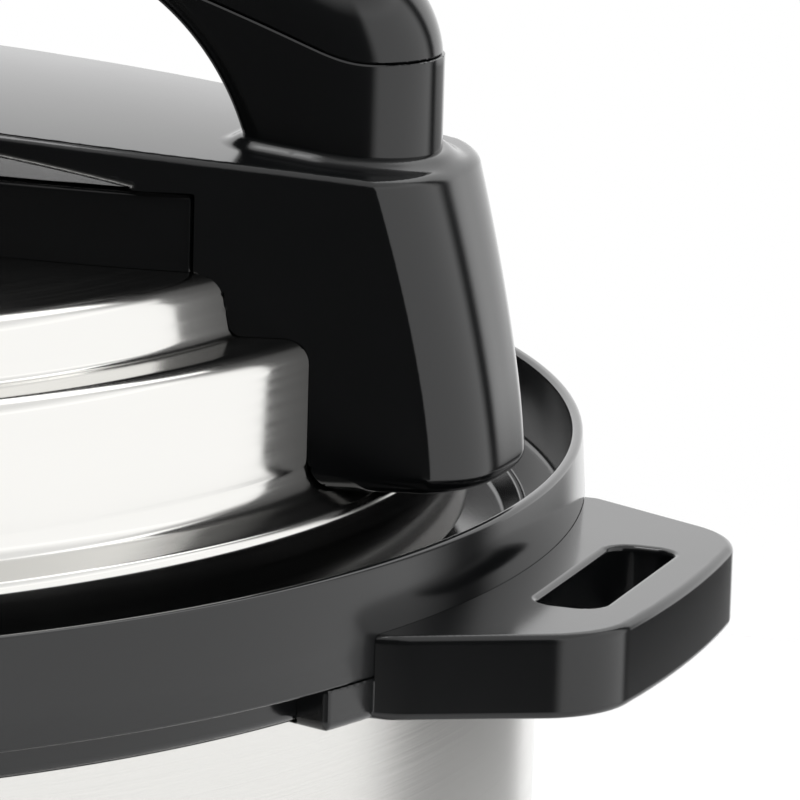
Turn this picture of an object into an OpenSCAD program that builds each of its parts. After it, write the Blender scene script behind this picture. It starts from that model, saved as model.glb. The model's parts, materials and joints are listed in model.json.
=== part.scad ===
// Electric pressure cooker of about six litres: a steel drum under a black collar with two
// carrying lugs, a bayonet lid with a bridge handle, an inner pot, its heater and controls.
// The origin is the centre of the footprint on the floor. The front is -Y, the lugs lie on X.

/* [Pot] */
// Inner radius of the inner pot
pot_r = 110; // [100:0.5:118]
// Wall of the inner pot
pot_wall = 1; // [0.8:0.1:1.6]
// Height of the inner pot
pot_h = 158; // [140:1:166]
// Width of the inner pot's rim
pot_rim = 7.6; // [6:0.1:9]
// Rounding between the pot's floor and wall
pot_corner = 13; // [8:0.5:20]
// Height of the pot's floor above the liner's underside
pot_lift = 22; // [21:0.5:26]
// Air gap between the inner pot and the liner
liner_gap = 1.5; // [1:0.1:3]
// Wall of the liner that holds the pot
liner_wall = 1.2; // [0.8:0.1:1.8]
// Width of the liner's rim without its teeth
liner_rim = 8.3; // [7:0.1:10]
// How far the bayonet teeth reach past the liner's rim
tooth_reach = 5.8; // [4:0.1:7]
// Teeth of the bayonet
tooth_count = 6; // [4:1:6]
// Angle that one bayonet tooth covers
tooth_angle = 26; // [18:1:27]

/* [Housing] */
// Wall of the steel drum
drum_wall = 0.8; // [0.5:0.1:1.2]
// Height of a foot
foot_h = 6; // [4:0.5:10]
// Radius of a foot
foot_r = 10; // [7:0.5:13]
// Distance of a foot from the centre
foot_at = 112; // [104:1:116]
// Thickness of the bottom cover
cover_t = 2.4; // [1.6:0.1:3.2]
// Height of the base ring
base_h = 38; // [36:1:46]
// Wall of the base ring outside the drum
base_wall = 2.2; // [1.6:0.1:3]
// Depth of the base ring's seat for the drum
base_seat = 8; // [5:0.5:10]

/* [Collar] */
// Thickness of the collar's lip
lip = 1.6; // [1.2:0.1:2.4]
// Gap between the lid's skirt and the collar
rim_gap = 14.2; // [12:0.1:18]
// How far the collar's lip stands out from the drum
collar_over = 5.4; // [4.6:0.1:7]
// Height of the collar's wide band
band_h = 14.4; // [13.6:0.1:18]
// Height of the stepped bead under the band
bead_h = 5; // [4:0.1:7]
// Outward draft of the band
band_draft = 0.6; // [0:0.1:1]
// Depth of the ledge inside the lip
ledge_depth = 12.3; // [11.4:0.1:12.4]

/* [Lugs] */
// How far a lug stands out from the collar's lip
lug_reach = 22.9; // [20:0.1:30]
// Thickness of a lug
lug_t = 11.2; // [9:0.1:13]
// Depth of a lug's top below the collar's lip
lug_drop = 8.8; // [8:0.1:10]
// Radius of a lug's rounded corners
lug_corner = 14; // [10:0.5:16]
// Half the straight width between a lug's rounded corners
lug_flat = 20.7; // [18:0.1:24]
// Angle of a lug's flanks
lug_flank = 28; // [20:1:34]
// Length of the slot through a lug
slot_l = 35; // [28:0.5:40]
// Width of the slot through a lug
slot_w = 9.2; // [8:0.1:10]
// Distance of the slot from a lug's end
slot_in = 7; // [6:0.1:8]
// Rounding of the slot's corners
slot_corner = 3.2; // [1.5:0.1:4]
// Half angle of the foot that clips a lug under the band
clip_angle = 20.4; // [19.5:0.1:24]

/* [Lid] */
// Thickness of the lid's steel
lid_t = 1.2; // [1:0.1:1.6]
// Gap between the liner's teeth and the lid's skirt
skirt_gap = 3.5; // [2:0.1:4.5]
// Depth of the lid's skirt below the collar's lip
skirt_depth = 10; // [9.4:0.1:10.6]
// Width of the lid's sloping flange
flange_w = 6.5; // [6:0.1:9]
// Height of the lid's ledge above the collar's lip
ledge_h = 23.4; // [22:0.1:25]
// Width of the lid's ledge
ledge_w = 10.4; // [9.6:0.1:12]
// Height of the lid's top above the collar's lip
top_h = 31.5; // [30.5:0.1:33]
// Wire of the rack that holds the sealing ring
rack_wire = 3.2; // [2.4:0.1:3.6]

/* [Handle] */
// Distance of the black slab's ends from the edge of the lid's flat top
slab_in = 3; // [2:0.1:6]
// Thickness of the slab
slab_h = 10.5; // [9:0.1:11]
// Width of the slab at its middle
slab_mid = 50.6; // [46:0.2:56]
// Width of the slab at its ends
slab_end = 46; // [40:0.2:46]
// Height of the bridge's top above the collar's lip
deck_h = 52; // [51:0.1:56]
// Thickness of the bridge between its wings
deck_t = 3.6; // [3:0.1:4.5]
// Drop of the bridge from its middle to its ends
deck_drop = 7.4; // [6:0.1:7.6]
// Width of the bridge at its middle
deck_mid = 61; // [56:0.2:66]
// Width of the bridge where its wings begin
deck_end = 45.8; // [44:0.2:50]
// Narrowing of a wing's flanks towards its outer face
wing_taper = 0.27; // [0.2:0.01:0.3]
// Gap between a wing and the collar's lip
wing_gap = 2.2; // [1.6:0.1:4]
// Lean of a wing's outer face
wing_lean = 9.8; // [8:0.1:12]
// Height of a wing's lower end above the collar's lip
wing_low = 3; // [2.6:0.1:5]
// Width of the grip
grip_w = 25.2; // [22:0.2:28]
// Height of the grip's top above the collar's lip
grip_h = 90; // [88:0.5:96]
// Height of the grip's underside above the collar's lip
arch_h = 71.7; // [70:0.1:73]
// Height of the seam at the grip's ends
seam_low = 58.3; // [56:0.1:60]
// Height of the seam at the grip's middle
seam_high = 80; // [78:0.1:82]
// Length of the rounding at the grip's upper ends
grip_turn = 7.2; // [5:0.1:9]

/* [Valves] */
// Distance of the steam pipe behind the lid's centre
pipe_y = 74; // [70:1:80]
// Outer radius of the steam pipe
pipe_r = 4.5; // [4:0.1:5.5]
// Radius of the steam pipe's bore
pipe_bore = 1.6; // [1.2:0.1:2.2]
// Sideways distance of the float valve
float_x = -40; // [-44:1:-36]
// Distance of the float valve behind the lid's centre
float_y = 66; // [62:1:70]
// Radius of the float valve's pin
float_r = 3; // [2.5:0.1:3.5]
// Rise of the float valve
float_rise = 6; // [4:0.5:6]

/* [Controls] */
// How far the control panel stands out from the drum
panel_out = 13.3; // [13.3:0.1:15]
// Width of the control panel
panel_w = 118; // [112:1:124]
// Height of the control panel
panel_h = 132; // [128:1:140]
// Height of the control panel's lower edge above the floor
panel_z = 60; // [56:1:62]
// Wall of the control panel
panel_wall = 2.5; // [2:0.1:2.5]
// Width of the display window
display_w = 62; // [50:1:66]
// Height of the display window
display_h = 30; // [24:1:32]
// Radius of a button
button_r = 6.5; // [5:0.1:7]
// Sideways distance of the buttons from the panel's middle
button_x = 34; // [30:1:35]
// Spacing of the button rows
button_pitch = 21; // [18:0.5:22]
// Travel of a button
button_travel = 0.5; // [0.3:0.1:0.5]

/* [Heater] */
// Radius of the heating plate
plate_r = 88; // [80:1:94]
// Thickness of the heating plate
plate_t = 11; // [9:0.5:12]
// Radius of the heating tube cast under the plate
element_r = 4.5; // [3.5:0.1:5]
// Radius of the sensor's cap
sensor_r = 12; // [9:0.5:14]
// Travel of the sensor
sensor_travel = 1.5; // [1:0.1:2]

/* [Collector] */
// Width of the condensation collector
cup_w = 56; // [48:1:62]
// Height of the condensation collector
cup_h = 34; // [28:1:38]
// Wall of the condensation collector
cup_wall = 1.6; // [1.2:0.1:2]

/* [Hidden] */

$fn = 120;
play = 0.05;   // between pieces that are fixed together
run = 0.3;     // between pieces that move past each other
pin_run = 0.08; // round a shaft that turns
far = 400;     // longer than the whole cooker

// Heights above the floor
base_top = foot_h + base_h;
drum_low = base_top - base_seat;
liner_low = drum_low + 8;                // underside of the liner's floor
rim_z = liner_low + pot_lift + pot_h + 3; // the collar's lip

// Pot, liner and bayonet
pot_out = pot_r + pot_wall;
rim_top = rim_z - 3;                     // top of the inner pot's rim
pot_floor = rim_top - pot_h;
liner_r = pot_out + liner_gap;
liner_out = liner_r + liner_wall;
liner_top = rim_top - pot_wall - 0.5 - run;
liner_edge = liner_r + liner_rim;
tooth_r = liner_edge + tooth_reach;
tooth_t = 1.5;
tab_in = liner_edge + 1.5;
lid_r = tooth_r + skirt_gap + lid_t;
tab_t = 1.7;

// Collar, drum and base
rim_in = lid_r + rim_gap;
rim_r = rim_in + lip;
band_r = rim_r + band_draft;
drum_r = rim_r - collar_over;
drum_in = drum_r - drum_wall;
bead_r = drum_r + 0.9;
collar_low = band_h + bead_h;            // depth of the collar's lower edge
moat = ledge_depth + 2.7;
tray_t = 1.6;
tray_r = drum_in - 1.4;
tray_low = moat + tray_t;
groove_top = collar_low - 1.9;
cover_z = foot_h;
cover_r = drum_r - 5.7;
base_r = drum_r + base_wall;
drum_top = rim_z - groove_top - play;
post_r = 6;
post_at = 92;
screw_at = cover_r - 3.5;
screw_r = 1.5;
screw_l = 4.8;                           // how far a cover screw reaches past the cover
head_r = 2.8;
head_t = 1.55;

// Mains inlet
inlet_w = 28;
inlet_h = 20;
inlet_wall = 2.5;
inlet_z = drum_low - play - inlet_wall - inlet_h / 2;
inlet_y = drum_r + 8.8;
inlet_depth = 17;
pin_l = 10;

// Bridge and grip
crown_r = lid_r - flange_w;              // wall between the flange and the ledge
plateau_r = crown_r - ledge_w - 3.4;     // edge of the flat top
wing_x = rim_in - wing_gap;
wing_top = wing_x - wing_lean;
wing_edge = 1.9;                         // rounding of a wing's upper edge
deck_knee = wing_top - 21.5;             // where the bridge's sides run on as flanks
slab_x = plateau_r - slab_in;
slab_top = top_h + slab_h;
slab_flat = slab_x - 28;                 // where the slab's sides begin to close in
grip_x = wing_top - 0.4;
arch_small = 33.5;
arch_large = 39.7;
arch_turn = 57;
arch_x = grip_x - 58.8;
seam_flat = 16;
grip_round = 8;
slab_screw_x = slab_x - 7;
slab_screw_y = 12;
grip_screw_x = grip_x - 12;
grip_screw_z = slab_top - 6;             // top of the seat for a grip screw's head
grip_head_t = 2.4;

// Panel and collector
panel_r = drum_r + panel_out;
panel_in = panel_r - panel_wall;
board_y = drum_r + run;
board_t = 1.6;
board_in = 10;                           // the control board's edge inside the panel's
power_w = 90;
power_h = 70;
rail_h = 14;
button_low = panel_z + 24;
display_z = panel_z + panel_h - 28;
cup_top = rim_z - collar_low - 4;
cup_y = drum_r + 2.6;
cup_d = drum_r + panel_out - cup_y;
cup_lip = 2.2;

// Points of an arc round c from angle a0 to angle a1
function arc(c, r, a0, a1, n = 6) =
    [for (i = [0:n]) let (a = a0 + (a1 - a0) * i / n) c + r * [cos(a), sin(a)]];
function flip(p) = [for (i = [len(p) - 1:-1:0]) p[i]];
function mirrored(p) = [for (i = [len(p) - 1:-1:0]) [-p[i][0], p[i][1]]];

module turned(p) { rotate_extrude($fn = 180) polygon(p); }
module across(d = far) { rotate([90, 0, 0]) linear_extrude(d, center = true) children(); }
module at_rim() { translate([0, 0, rim_z]) children(); }
module both_ends() { for (s = [0, 180]) rotate(s) children(); }
module slot2d(w, h, r) {
    square([w - 2 * r, h], center = true);
    square([w, h - 2 * r], center = true);
    for (x = [-1, 1], y = [-1, 1]) translate([x * (w / 2 - r), y * (h / 2 - r)]) circle(r);
}
module sector(r, half) { polygon(concat([[0, 0]], arc([0, 0], r, -half, half, 12))); }

// ---- Base ----------------------------------------------------------------------------------

module feet() {
    color("#26262a") for (a = [45:90:315]) rotate(a) translate([foot_at, 0, 0]) {
        cylinder(h = foot_h - 1, r1 = foot_r - 1.2, r2 = foot_r);
        translate([0, 0, foot_h - 1]) cylinder(h = 1, r = foot_r);
        translate([0, 0, foot_h]) cylinder(h = cover_t, r = foot_r / 3);
    }
}

module bottom_cover() {
    color("#2b2c2f") difference() {
        union() {
            translate([0, 0, cover_z]) cylinder(h = cover_t, r = cover_r);
            for (a = [0:90:270]) rotate(a) translate([post_at, 0, cover_z])
                cylinder(h = liner_low - cover_z - play, r = post_r);
        }
        for (a = [45:90:315]) rotate(a) translate([foot_at, 0, 0])
            cylinder(h = far, r = foot_r / 3 + play);
        for (a = [0:60:300]) rotate(a) translate([screw_at, 0, 0]) {
            cylinder(h = far, r = screw_r + play);
            cylinder(h = cover_z + 1, r = head_r + play);
        }
        for (ring = [40, 62], a = [0:15:345]) rotate(a)
            translate([ring, 0, cover_z + cover_t / 2])
            cube([16, 3.2, cover_t + 1], center = true);
    }
}

module cover_screws() {
    color("#b9bcc0") for (a = [0:60:300]) rotate(a) translate([screw_at, 0, 0]) {
        translate([0, 0, cover_z + 1 - play - head_t]) cylinder(h = head_t, r = head_r);
        translate([0, 0, cover_z + 1 - play]) cylinder(h = cover_t + screw_l - 1, r = screw_r);
    }
}

module base_ring() {
    shelf = cover_z + cover_t + play;
    outline = concat(
        [[cover_r + play, cover_z]],
        arc([base_r - 4.5, cover_z + 3], 3, -90, -20),
        [[base_r, cover_z + 12], [base_r, base_top - 1], [base_r - 0.8, base_top],
         [drum_r + play, base_top], [drum_r + play, drum_low - play],
         [drum_in - 2.4, drum_low - play], [drum_in - 2.4, shelf + 6], [screw_at - 4, shelf + 6],
         [screw_at - 4, shelf], [cover_r + play, shelf]]);
    color("#1d1e20") difference() {
        union() {
            turned(outline);
            intersection() {
                translate([0, (drum_in + inlet_y) / 2, inlet_z])
                    cube([inlet_w + 2 * inlet_wall, inlet_y - drum_in + 24,
                          inlet_h + 2 * inlet_wall], center = true);
                translate([0, inlet_y - far / 2, inlet_z]) cube(far, center = true);
                translate([-far / 2, drum_in - 12, 0]) cube([far, far, drum_low - play]);
            }
        }
        translate([0, inlet_y, inlet_z])
            cube([inlet_w + 2 * play, 2 * inlet_depth + 2 * play, inlet_h + 2 * play], center = true);
        translate([0, inlet_y - inlet_depth - 4, inlet_z])
            cube([inlet_w - 6, 12, inlet_h - 6], center = true);
        for (a = [0:60:300]) rotate(a) translate([screw_at, 0, shelf - 1])
            cylinder(h = screw_l + 1.3, r = screw_r + play);
    }
}

module drum() {
    color("#c9ccce") difference() {
        translate([0, 0, drum_low]) cylinder(h = drum_top - drum_low, r = drum_r);
        translate([0, 0, drum_low - 1]) cylinder(h = drum_top - drum_low + 2, r = drum_in);
        translate([0, -drum_r, display_z]) cube([24, 20, 10], center = true);
    }
}

// ---- Collar and lugs ------------------------------------------------------------------------

// Section of the collar, grown by g towards what seats on its outside
module collar_section(g = 0) {
    inside = [
        [drum_r + play, -collar_low], [drum_r + play, -groove_top],
        [drum_in - play, -groove_top], [drum_in - play, -collar_low - 4],
        [drum_in - 2.2, -collar_low - 4], [drum_in - 2.2, -tray_low - 1.2],
        [tray_r - 4, -tray_low - 1.2], [tray_r - 4, -tray_low],
        [tray_r, -tray_low], [tray_r, -ledge_depth], [rim_in, -ledge_depth], [rim_in, -0.5]];
    outside = concat(
        [[rim_in + 0.5, 0], [rim_r - 0.6, g]], arc([rim_r - 0.6, -0.6], 0.6 + g, 60, 10, 3),
        [[band_r + g, -9], [band_r + g, -band_h + 0.6], [band_r - 0.6, -band_h - g],
         [bead_r + g, -band_h - g]],
        arc([bead_r - 1.4, -collar_low + 2], 1.4 + g, 0, -60, 3),
        [[drum_r + play + 0.2, -collar_low]]);
    polygon(concat(inside, outside));
}

module collar() {
    spout_y = cup_y + cup_d / 2;
    color("#1b1c1e") at_rim() difference() {
        union() {
            rotate_extrude($fn = 180) collar_section();
            translate([0, spout_y - 2, -band_h - 3]) cylinder(h = 5, r = 3.4);
        }
        translate([0, spout_y - 2, -band_h - 4]) cylinder(h = 5.2, r = 1.8);
        translate([0, spout_y - 2, -ledge_depth - 0.2]) rotate([90, 0, 0]) cylinder(h = 6, r = 1.2);
    }
}

// Gutter between the liner and the collar, which catches what drips from the lid
module rim_tray() {
    out = tray_r - play;
    in = liner_out + play;
    color("#1b1c1e") at_rim() rotate_extrude($fn = 180) polygon([
        [in, -tray_low + play], [out, -tray_low + play], [out, -ledge_depth],
        [out - 0.6, -ledge_depth], [out - 2.6, -moat], [liner_out + 2, -moat],
        [liner_out + 2, -moat + 2], [in, -moat + 2]]);
}

// Outline of a lug from above
module lug_outline() {
    lug_end = rim_r + lug_reach;
    bow = 238;
    turn = asin(lug_flat / (bow - lug_corner));
    corner = [lug_end - bow, 0] + (bow - lug_corner) * [cos(turn), sin(turn)];
    upper = concat(arc([lug_end - bow, 0], bow, 0, turn, 3),
                   arc(corner, lug_corner, turn, 90 - lug_flank, 8));
    tip = upper[len(upper) - 1];
    root = [drum_r - 8, tip[1] + (tip[0] - drum_r + 8) * tan(lug_flank)];
    half = concat(upper, [root]);
    polygon(concat(half, [for (i = [len(half) - 1:-1:1]) [half[i][0], -half[i][1]]]));
}

module lug() {
    lug_end = rim_r + lug_reach;
    lug_low = lug_drop + lug_t;
    flank_y = 42.6;
    at_rim() difference() {
        union() {
            intersection() {
                translate([0, 0, -lug_low]) linear_extrude(lug_t) lug_outline();
                translate([0, -flank_y, -lug_low - 1]) cube([far, 2 * flank_y, lug_t + 2]);
            }
            translate([0, 0, -lug_low]) linear_extrude(lug_low - band_h - play) intersection() {
                circle(band_r);
                sector(far, clip_angle);
            }
        }
        rotate_extrude($fn = 180) collar_section(play);
        translate([0, 0, -lug_low - 1]) cylinder(h = far, r = drum_r + play);
        translate([0, 0, -collar_low - play]) cylinder(h = far, r = bead_r + play);
        translate([lug_end - slot_in - slot_w / 2, 0, -lug_low - 1])
            linear_extrude(lug_t + 2) slot2d(slot_w, slot_l, slot_corner);
    }
}

module left_lug() { color("#1b1c1e") rotate(180) lug(); }
module right_lug() { color("#1b1c1e") lug(); }

// ---- Liner, heater and pot --------------------------------------------------------------------

module liner() {
    color("#b4b7ba") difference() {
        union() {
            turned([
                [18, liner_low], [liner_out, liner_low], [liner_out, liner_top - tooth_t],
                [liner_edge, liner_top - tooth_t], [liner_edge, liner_top],
                [liner_r, liner_top], [liner_r, liner_low + liner_wall],
                [18, liner_low + liner_wall]]);
            for (i = [1:tooth_count]) rotate(i * 360 / tooth_count)
                translate([0, 0, liner_top - tooth_t]) linear_extrude(tooth_t) difference() {
                    intersection() { circle(tooth_r); sector(far, tooth_angle / 2); }
                    circle(liner_edge - 1);
                }
        }
        for (a = [0:90:270]) rotate(a) translate([post_at, 0, 0]) cylinder(h = far, r = 2);
    }
}

module heating_plate() {
    low = pot_floor - run - plate_t;
    cup = sensor_r + run;
    color("#a9acae") difference() {
        union() {
            turned(concat([[0, low], [plate_r - 1, low]],
                          [[plate_r, low + 1], [plate_r, low + plate_t - 2],
                           [plate_r - 4, low + plate_t], [0, low + plate_t]]));
            translate([0, 0, low]) rotate_extrude($fn = 96) translate([plate_r * 0.78, 0])
                circle(element_r, $fn = 24);
            translate([0, 0, low - 7]) cylinder(h = 8, r = cup + 2.4);
            for (a = [60:120:300]) rotate(a) translate([plate_r * 0.5, 0, liner_low + liner_wall + play])
                cylinder(h = low - liner_low - liner_wall, r = 5);
        }
        translate([0, 0, low - 5.4]) cylinder(h = far, r = cup);
        translate([0, 0, low - 8]) cylinder(h = 4, r = 4 + run);
    }
}

module sensor_plunger() {
    low = pot_floor - run - plate_t;
    top = pot_floor - run;
    color("#d2d4d6") {
        translate([0, 0, top - 4]) cylinder(h = 3, r = sensor_r);
        translate([0, 0, top - 1]) cylinder(h = 1, r1 = sensor_r, r2 = sensor_r - 1);
        translate([0, 0, low - 9]) cylinder(h = plate_t + 5.5, r = 4);
    }
}

module inner_pot() {
    inner = pot_corner - pot_wall;
    color("#d5d8da") turned(concat(
        [[0, pot_floor]],
        arc([pot_out - pot_corner, pot_floor + pot_corner], pot_corner, -90, 0),
        [[pot_out, rim_top - pot_wall - 1.5], [pot_out + 1, rim_top - pot_wall - 0.5],
         [pot_out + pot_rim - 0.5, rim_top - pot_wall - 0.5], [pot_out + pot_rim, rim_top - 1],
         [pot_out + pot_rim - 0.5, rim_top], [pot_r + 2, rim_top], [pot_r, rim_top - 2]],
        arc([pot_out - pot_corner, pot_floor + pot_corner], inner, 0, -90),
        [[0, pot_floor + pot_wall]]));
}

// ---- Controls ---------------------------------------------------------------------------------

// Front sheet of the panel between two radii, w wide and h high round height z
module panel_sheet(r0, r1, w, h, z, r) {
    intersection() {
        difference() {
            cylinder(h = far, r = r1);
            translate([0, 0, -1]) cylinder(h = far + 2, r = r0);
        }
        translate([0, 0, z]) rotate([90, 0, 0]) linear_extrude(far) slot2d(w, h, r);
    }
}

function button_place(i) = [(i % 2 == 0 ? -1 : 1) * button_x, button_low + floor(i / 2) * button_pitch];

module control_panel() {
    z = panel_z + panel_h / 2;
    color("#151618") difference() {
        union() {
            panel_sheet(drum_r + play, panel_r - 1.4, panel_w, panel_h, z, 16);
            panel_sheet(panel_r - 2, panel_r, panel_w - 3, panel_h - 3, z, 14.5);
        }
        panel_sheet(drum_r - 1, panel_in, panel_w - 2 * panel_wall, panel_h - 2 * panel_wall,
                    z, 16 - panel_wall);
        translate([0, 0, display_z]) rotate([90, 0, 0]) linear_extrude(far)
            slot2d(display_w + 2 * play, display_h + 2 * play, 3);
        for (i = [0:5]) translate([button_place(i)[0], 0, button_place(i)[1]])
            rotate([90, 0, 0]) cylinder(h = far, r = button_r + run);
    }
}

module display_lens() {
    color("#0a1218") panel_sheet(panel_in, panel_r, display_w, display_h, display_z, 3 - play);
}

module control_board() {
    top_y = board_y + board_t;
    low = panel_z + board_in;
    high = panel_z + panel_h - board_in;
    wide = panel_w - 2 * board_in - 2;
    color("#2c6b45") {
        translate([-wide / 2, -top_y, low]) cube([wide, board_t, high - low]);
        for (i = [0:5]) translate([button_place(i)[0], -top_y, button_place(i)[1]])
            rotate([90, 0, 0]) cylinder(h = 0.9, r = 3);
        translate([-display_w / 2 + 4, -top_y - 5.6, display_z - display_h / 2 + 3])
            cube([display_w - 8, 5.6, display_h - 6]);
    }
}

module push_button(i) {
    flange_y = board_y + board_t + 0.9 + button_travel + 0.2;
    x = button_place(i)[0];
    z = button_place(i)[1];
    color("#33363a") intersection() {
        translate([x, -flange_y, z]) rotate([90, 0, 0]) {
            cylinder(h = far, r = button_r);
            cylinder(h = 1, r = button_r + 1.5);
        }
        cylinder(h = far, r = panel_r + 0.6);
    }
}

module button_start() { push_button(0); }
module button_cancel() { push_button(1); }
module button_minus() { push_button(2); }
module button_plus() { push_button(3); }
module button_menu() { push_button(4); }
module button_warm() { push_button(5); }

module power_board() {
    board = drum_in - 12.5;
    color("#3a6b3f") {
        translate([-power_w / 2, -board, liner_low + 2]) cube([power_w, board_t, power_h]);
        translate([-38, -board + board_t, liner_low + 12]) cube([24, 9, 22]);
        translate([4, -board + board_t, liner_low + 20]) cube([16, 8, 30]);
        for (x = [9 - power_w / 2, power_w / 2 - 9], z = [10, power_h - 8]) intersection() {
            translate([x, -board, liner_low + z]) rotate([90, 0, 0]) cylinder(h = 20, r = 3);
            cylinder(h = far, r = drum_in - play);
        }
    }
}

module power_inlet() {
    color("#17181a") difference() {
        translate([0, inlet_y - inlet_depth / 2, inlet_z])
            cube([inlet_w, inlet_depth, inlet_h], center = true);
        translate([-inlet_w / 2 + 2, inlet_y - inlet_depth + 2, inlet_z - inlet_h / 2 + 2])
            cube([inlet_w - 4, far, inlet_h - 4]);
        for (x = [-7, 0, 7]) translate([x, inlet_y - inlet_depth, inlet_z + (x == 0 ? 3 : -1)])
            cube([2 + 2 * play, 12, 4 + 2 * play], center = true);
    }
}

module inlet_pins() {
    color("#c9b46a") for (x = [-7, 0, 7])
        translate([x, inlet_y - inlet_depth + pin_l / 2, inlet_z + (x == 0 ? 3 : -1)])
        cube([2, pin_l, 4], center = true);
}

// ---- Condensation collector ------------------------------------------------------------------

module collector_rails() {
    low = cup_top - rail_h;
    side = cup_w / 2 + cup_lip + run;
    color("#1b1c1e") for (s = [0, 1]) mirror([s, 0, 0]) difference() {
        translate([side - 2.4, drum_r - 6, low])
            cube([4.4, cup_y + cup_d - drum_r + 3, rail_h]);
        translate([side - far, cup_y - run, cup_top - 2 - run]) cube([far, far, 2 + 2 * run]);
        translate([cup_w / 2 - far + run, cup_y - run, low - 1]) cube([far, far, rail_h + 2]);
        cylinder(h = far, r = drum_r + play);
    }
}

module condensation_collector() {
    middle = cup_y + cup_d / 2;
    color("#4a4d52") difference() {
        union() {
            translate([0, middle, cup_top - cup_h]) linear_extrude(cup_h) slot2d(cup_w, cup_d, 4);
            translate([-cup_w / 2 - cup_lip, cup_y, cup_top - 2])
                cube([cup_w + 2 * cup_lip, cup_d, 2]);
        }
        translate([0, middle, cup_top - cup_h + cup_wall])
            linear_extrude(cup_h) slot2d(cup_w - 2 * cup_wall, cup_d - 2 * cup_wall, 3);
    }
}

// ---- Lid --------------------------------------------------------------------------------------

// Outer line of the lid, moved in by g
function lid_line(g) =
    let (edge_r = 3.5, edge = [plateau_r, top_h - edge_r], draft = 10,
         foot_p = edge + edge_r * [cos(draft), sin(draft)] + 4 * [sin(draft), -cos(draft)],
         cove_r = 1.5, cove = foot_p + cove_r * [cos(draft), sin(draft)],
         cove_c = [cove[0], max(cove[1], ledge_h + cove_r)],
         brow = [crown_r - 3.2, ledge_h - 3.2], slope = 20,
         hip = [crown_r + 3.5, 6.6], bow = [lid_r - 1.6, 0.66])
    concat([[0, top_h - g]],
           arc(edge, edge_r - g, 90, draft),
           arc(cove_c, cove_r + g, 180 + draft, 270, 4),
           arc(brow, 3.2 - g, 90, 0),
           arc(hip, 3.5 + g, 180, 270 - slope),
           arc(bow, 1.6 - g, 90 - slope, 0, 4));

// Everything the lid's outer face encloses, grown by g
module lid_body(g = 0) {
    turned(concat(lid_line(-g), [[lid_r + g, -skirt_depth], [0, -skirt_depth]]));
}

module lid_shell() {
    outer = concat(lid_line(0), [[lid_r, -skirt_depth]]);
    inner = concat(lid_line(lid_t), [[lid_r - lid_t, -skirt_depth + tab_t],
                                     [tab_in, -skirt_depth + tab_t], [tab_in, -skirt_depth]]);
    color("#d8dadc") at_rim() difference() {
        turned(concat(outer, flip(inner)));
        for (i = [1:tooth_count]) rotate((i + 0.5) * 360 / tooth_count)
            translate([0, 0, -skirt_depth - 1]) linear_extrude(tab_t + 2) intersection() {
                circle(tooth_r + 1);
                sector(far, 180 / tooth_count - tooth_angle / 2);
            }
        translate([0, pipe_y, 0]) cylinder(h = far, r = pipe_r + play);
        translate([float_x, float_y, 0]) cylinder(h = far, r = float_r + run + 1);
        for (x = [-1, 1], y = [-1, 1]) translate([x * slab_screw_x, y * slab_screw_y, 20])
            cylinder(h = far, r = 2 + play);
    }
}

rack_r = crown_r - 9.8;

module ring_rack() {
    color("#c3c6c9") at_rim() {
        translate([0, 0, 1]) rotate_extrude($fn = 120) translate([rack_r, 0])
            circle(rack_wire / 2, $fn = 24);
        for (a = [30:60:330]) rotate(a) translate([rack_r, 0, 1])
            cylinder(h = ledge_h - lid_t - 1.1, r = 1.1);
    }
}

module sealing_ring() {
    low = -3 + run;
    wire_low = 1 - rack_wire / 2;
    body_r = rack_r + rack_wire / 2 + run;
    color("#c8c2b8") at_rim() turned([
        [rack_r - 2.5, low], [rack_r + 5.5, low], [crown_r - lid_t - 0.9, low],
        [crown_r - lid_t - 0.6, 0], [crown_r - lid_t - 1.2, 4.5],
        [body_r, 4.5], [body_r, wire_low - run], [rack_r - 2, wire_low - run],
        [rack_r - 3, low + 0.4]]);
}

// Half width of the slab and of the bridge at distance x from the middle
function slab_half(x) =
    slab_mid / 2 - (slab_mid - slab_end) / 2 * pow(max(0, x - slab_flat) / (slab_x - slab_flat), 2);
function deck_half(x) =
    x > deck_knee ? deck_end / 2 - (x - deck_knee) * wing_taper
                  : deck_mid / 2 - (deck_mid - deck_end) / 2 * pow(x / deck_knee, 4);
// Even steps from -reach to reach
function steps(reach, n = 24) = [for (i = [0:n]) -reach + 2 * reach * i / n];
function closed(p) = concat(p, [for (i = [len(p) - 1:-1:0]) [p[i][0], -p[i][1]]]);

module lid_slab() {
    color("#1a1b1d") at_rim() difference() {
        translate([0, 0, top_h + play]) linear_extrude(slab_h - play)
            polygon(closed([for (x = steps(slab_x)) [x, slab_half(abs(x))]]));
        for (x = [-1, 1], y = [-1, 1]) translate([x * slab_screw_x, y * slab_screw_y, 20])
            cylinder(h = far, r = 2 + play);
    }
}

// Height of the bridge's top at distance x from the middle
function deck_top(x) = deck_h - deck_drop * pow(x / wing_top, 2);

// Height of the seam between the two halves of the grip
function seam(x) =
    seam_high - (seam_high - seam_low) * pow(max(0, abs(x) - seam_flat) / (grip_x - seam_flat), 2);

// Outline of a wing from above, where its bowed outer face reaches x
module wing_outline(x, round) {
    bow = 128;
    root = slab_x - 12;
    slope = atan(wing_taper);
    y = deck_half(x - round) - round / cos(slope);
    turn = asin(y / (bow - round));
    corner = [x - bow, 0] + (bow - round) * [cos(turn), sin(turn)];
    half = concat([[x, 0]], arc(corner, round, turn, 90 - slope, 5),
                  [[deck_knee, deck_half(deck_knee)], [root, deck_half(root)]]);
    polygon(concat(half, [for (i = [len(half) - 1:-1:1]) [half[i][0], -half[i][1]]]));
}

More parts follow.
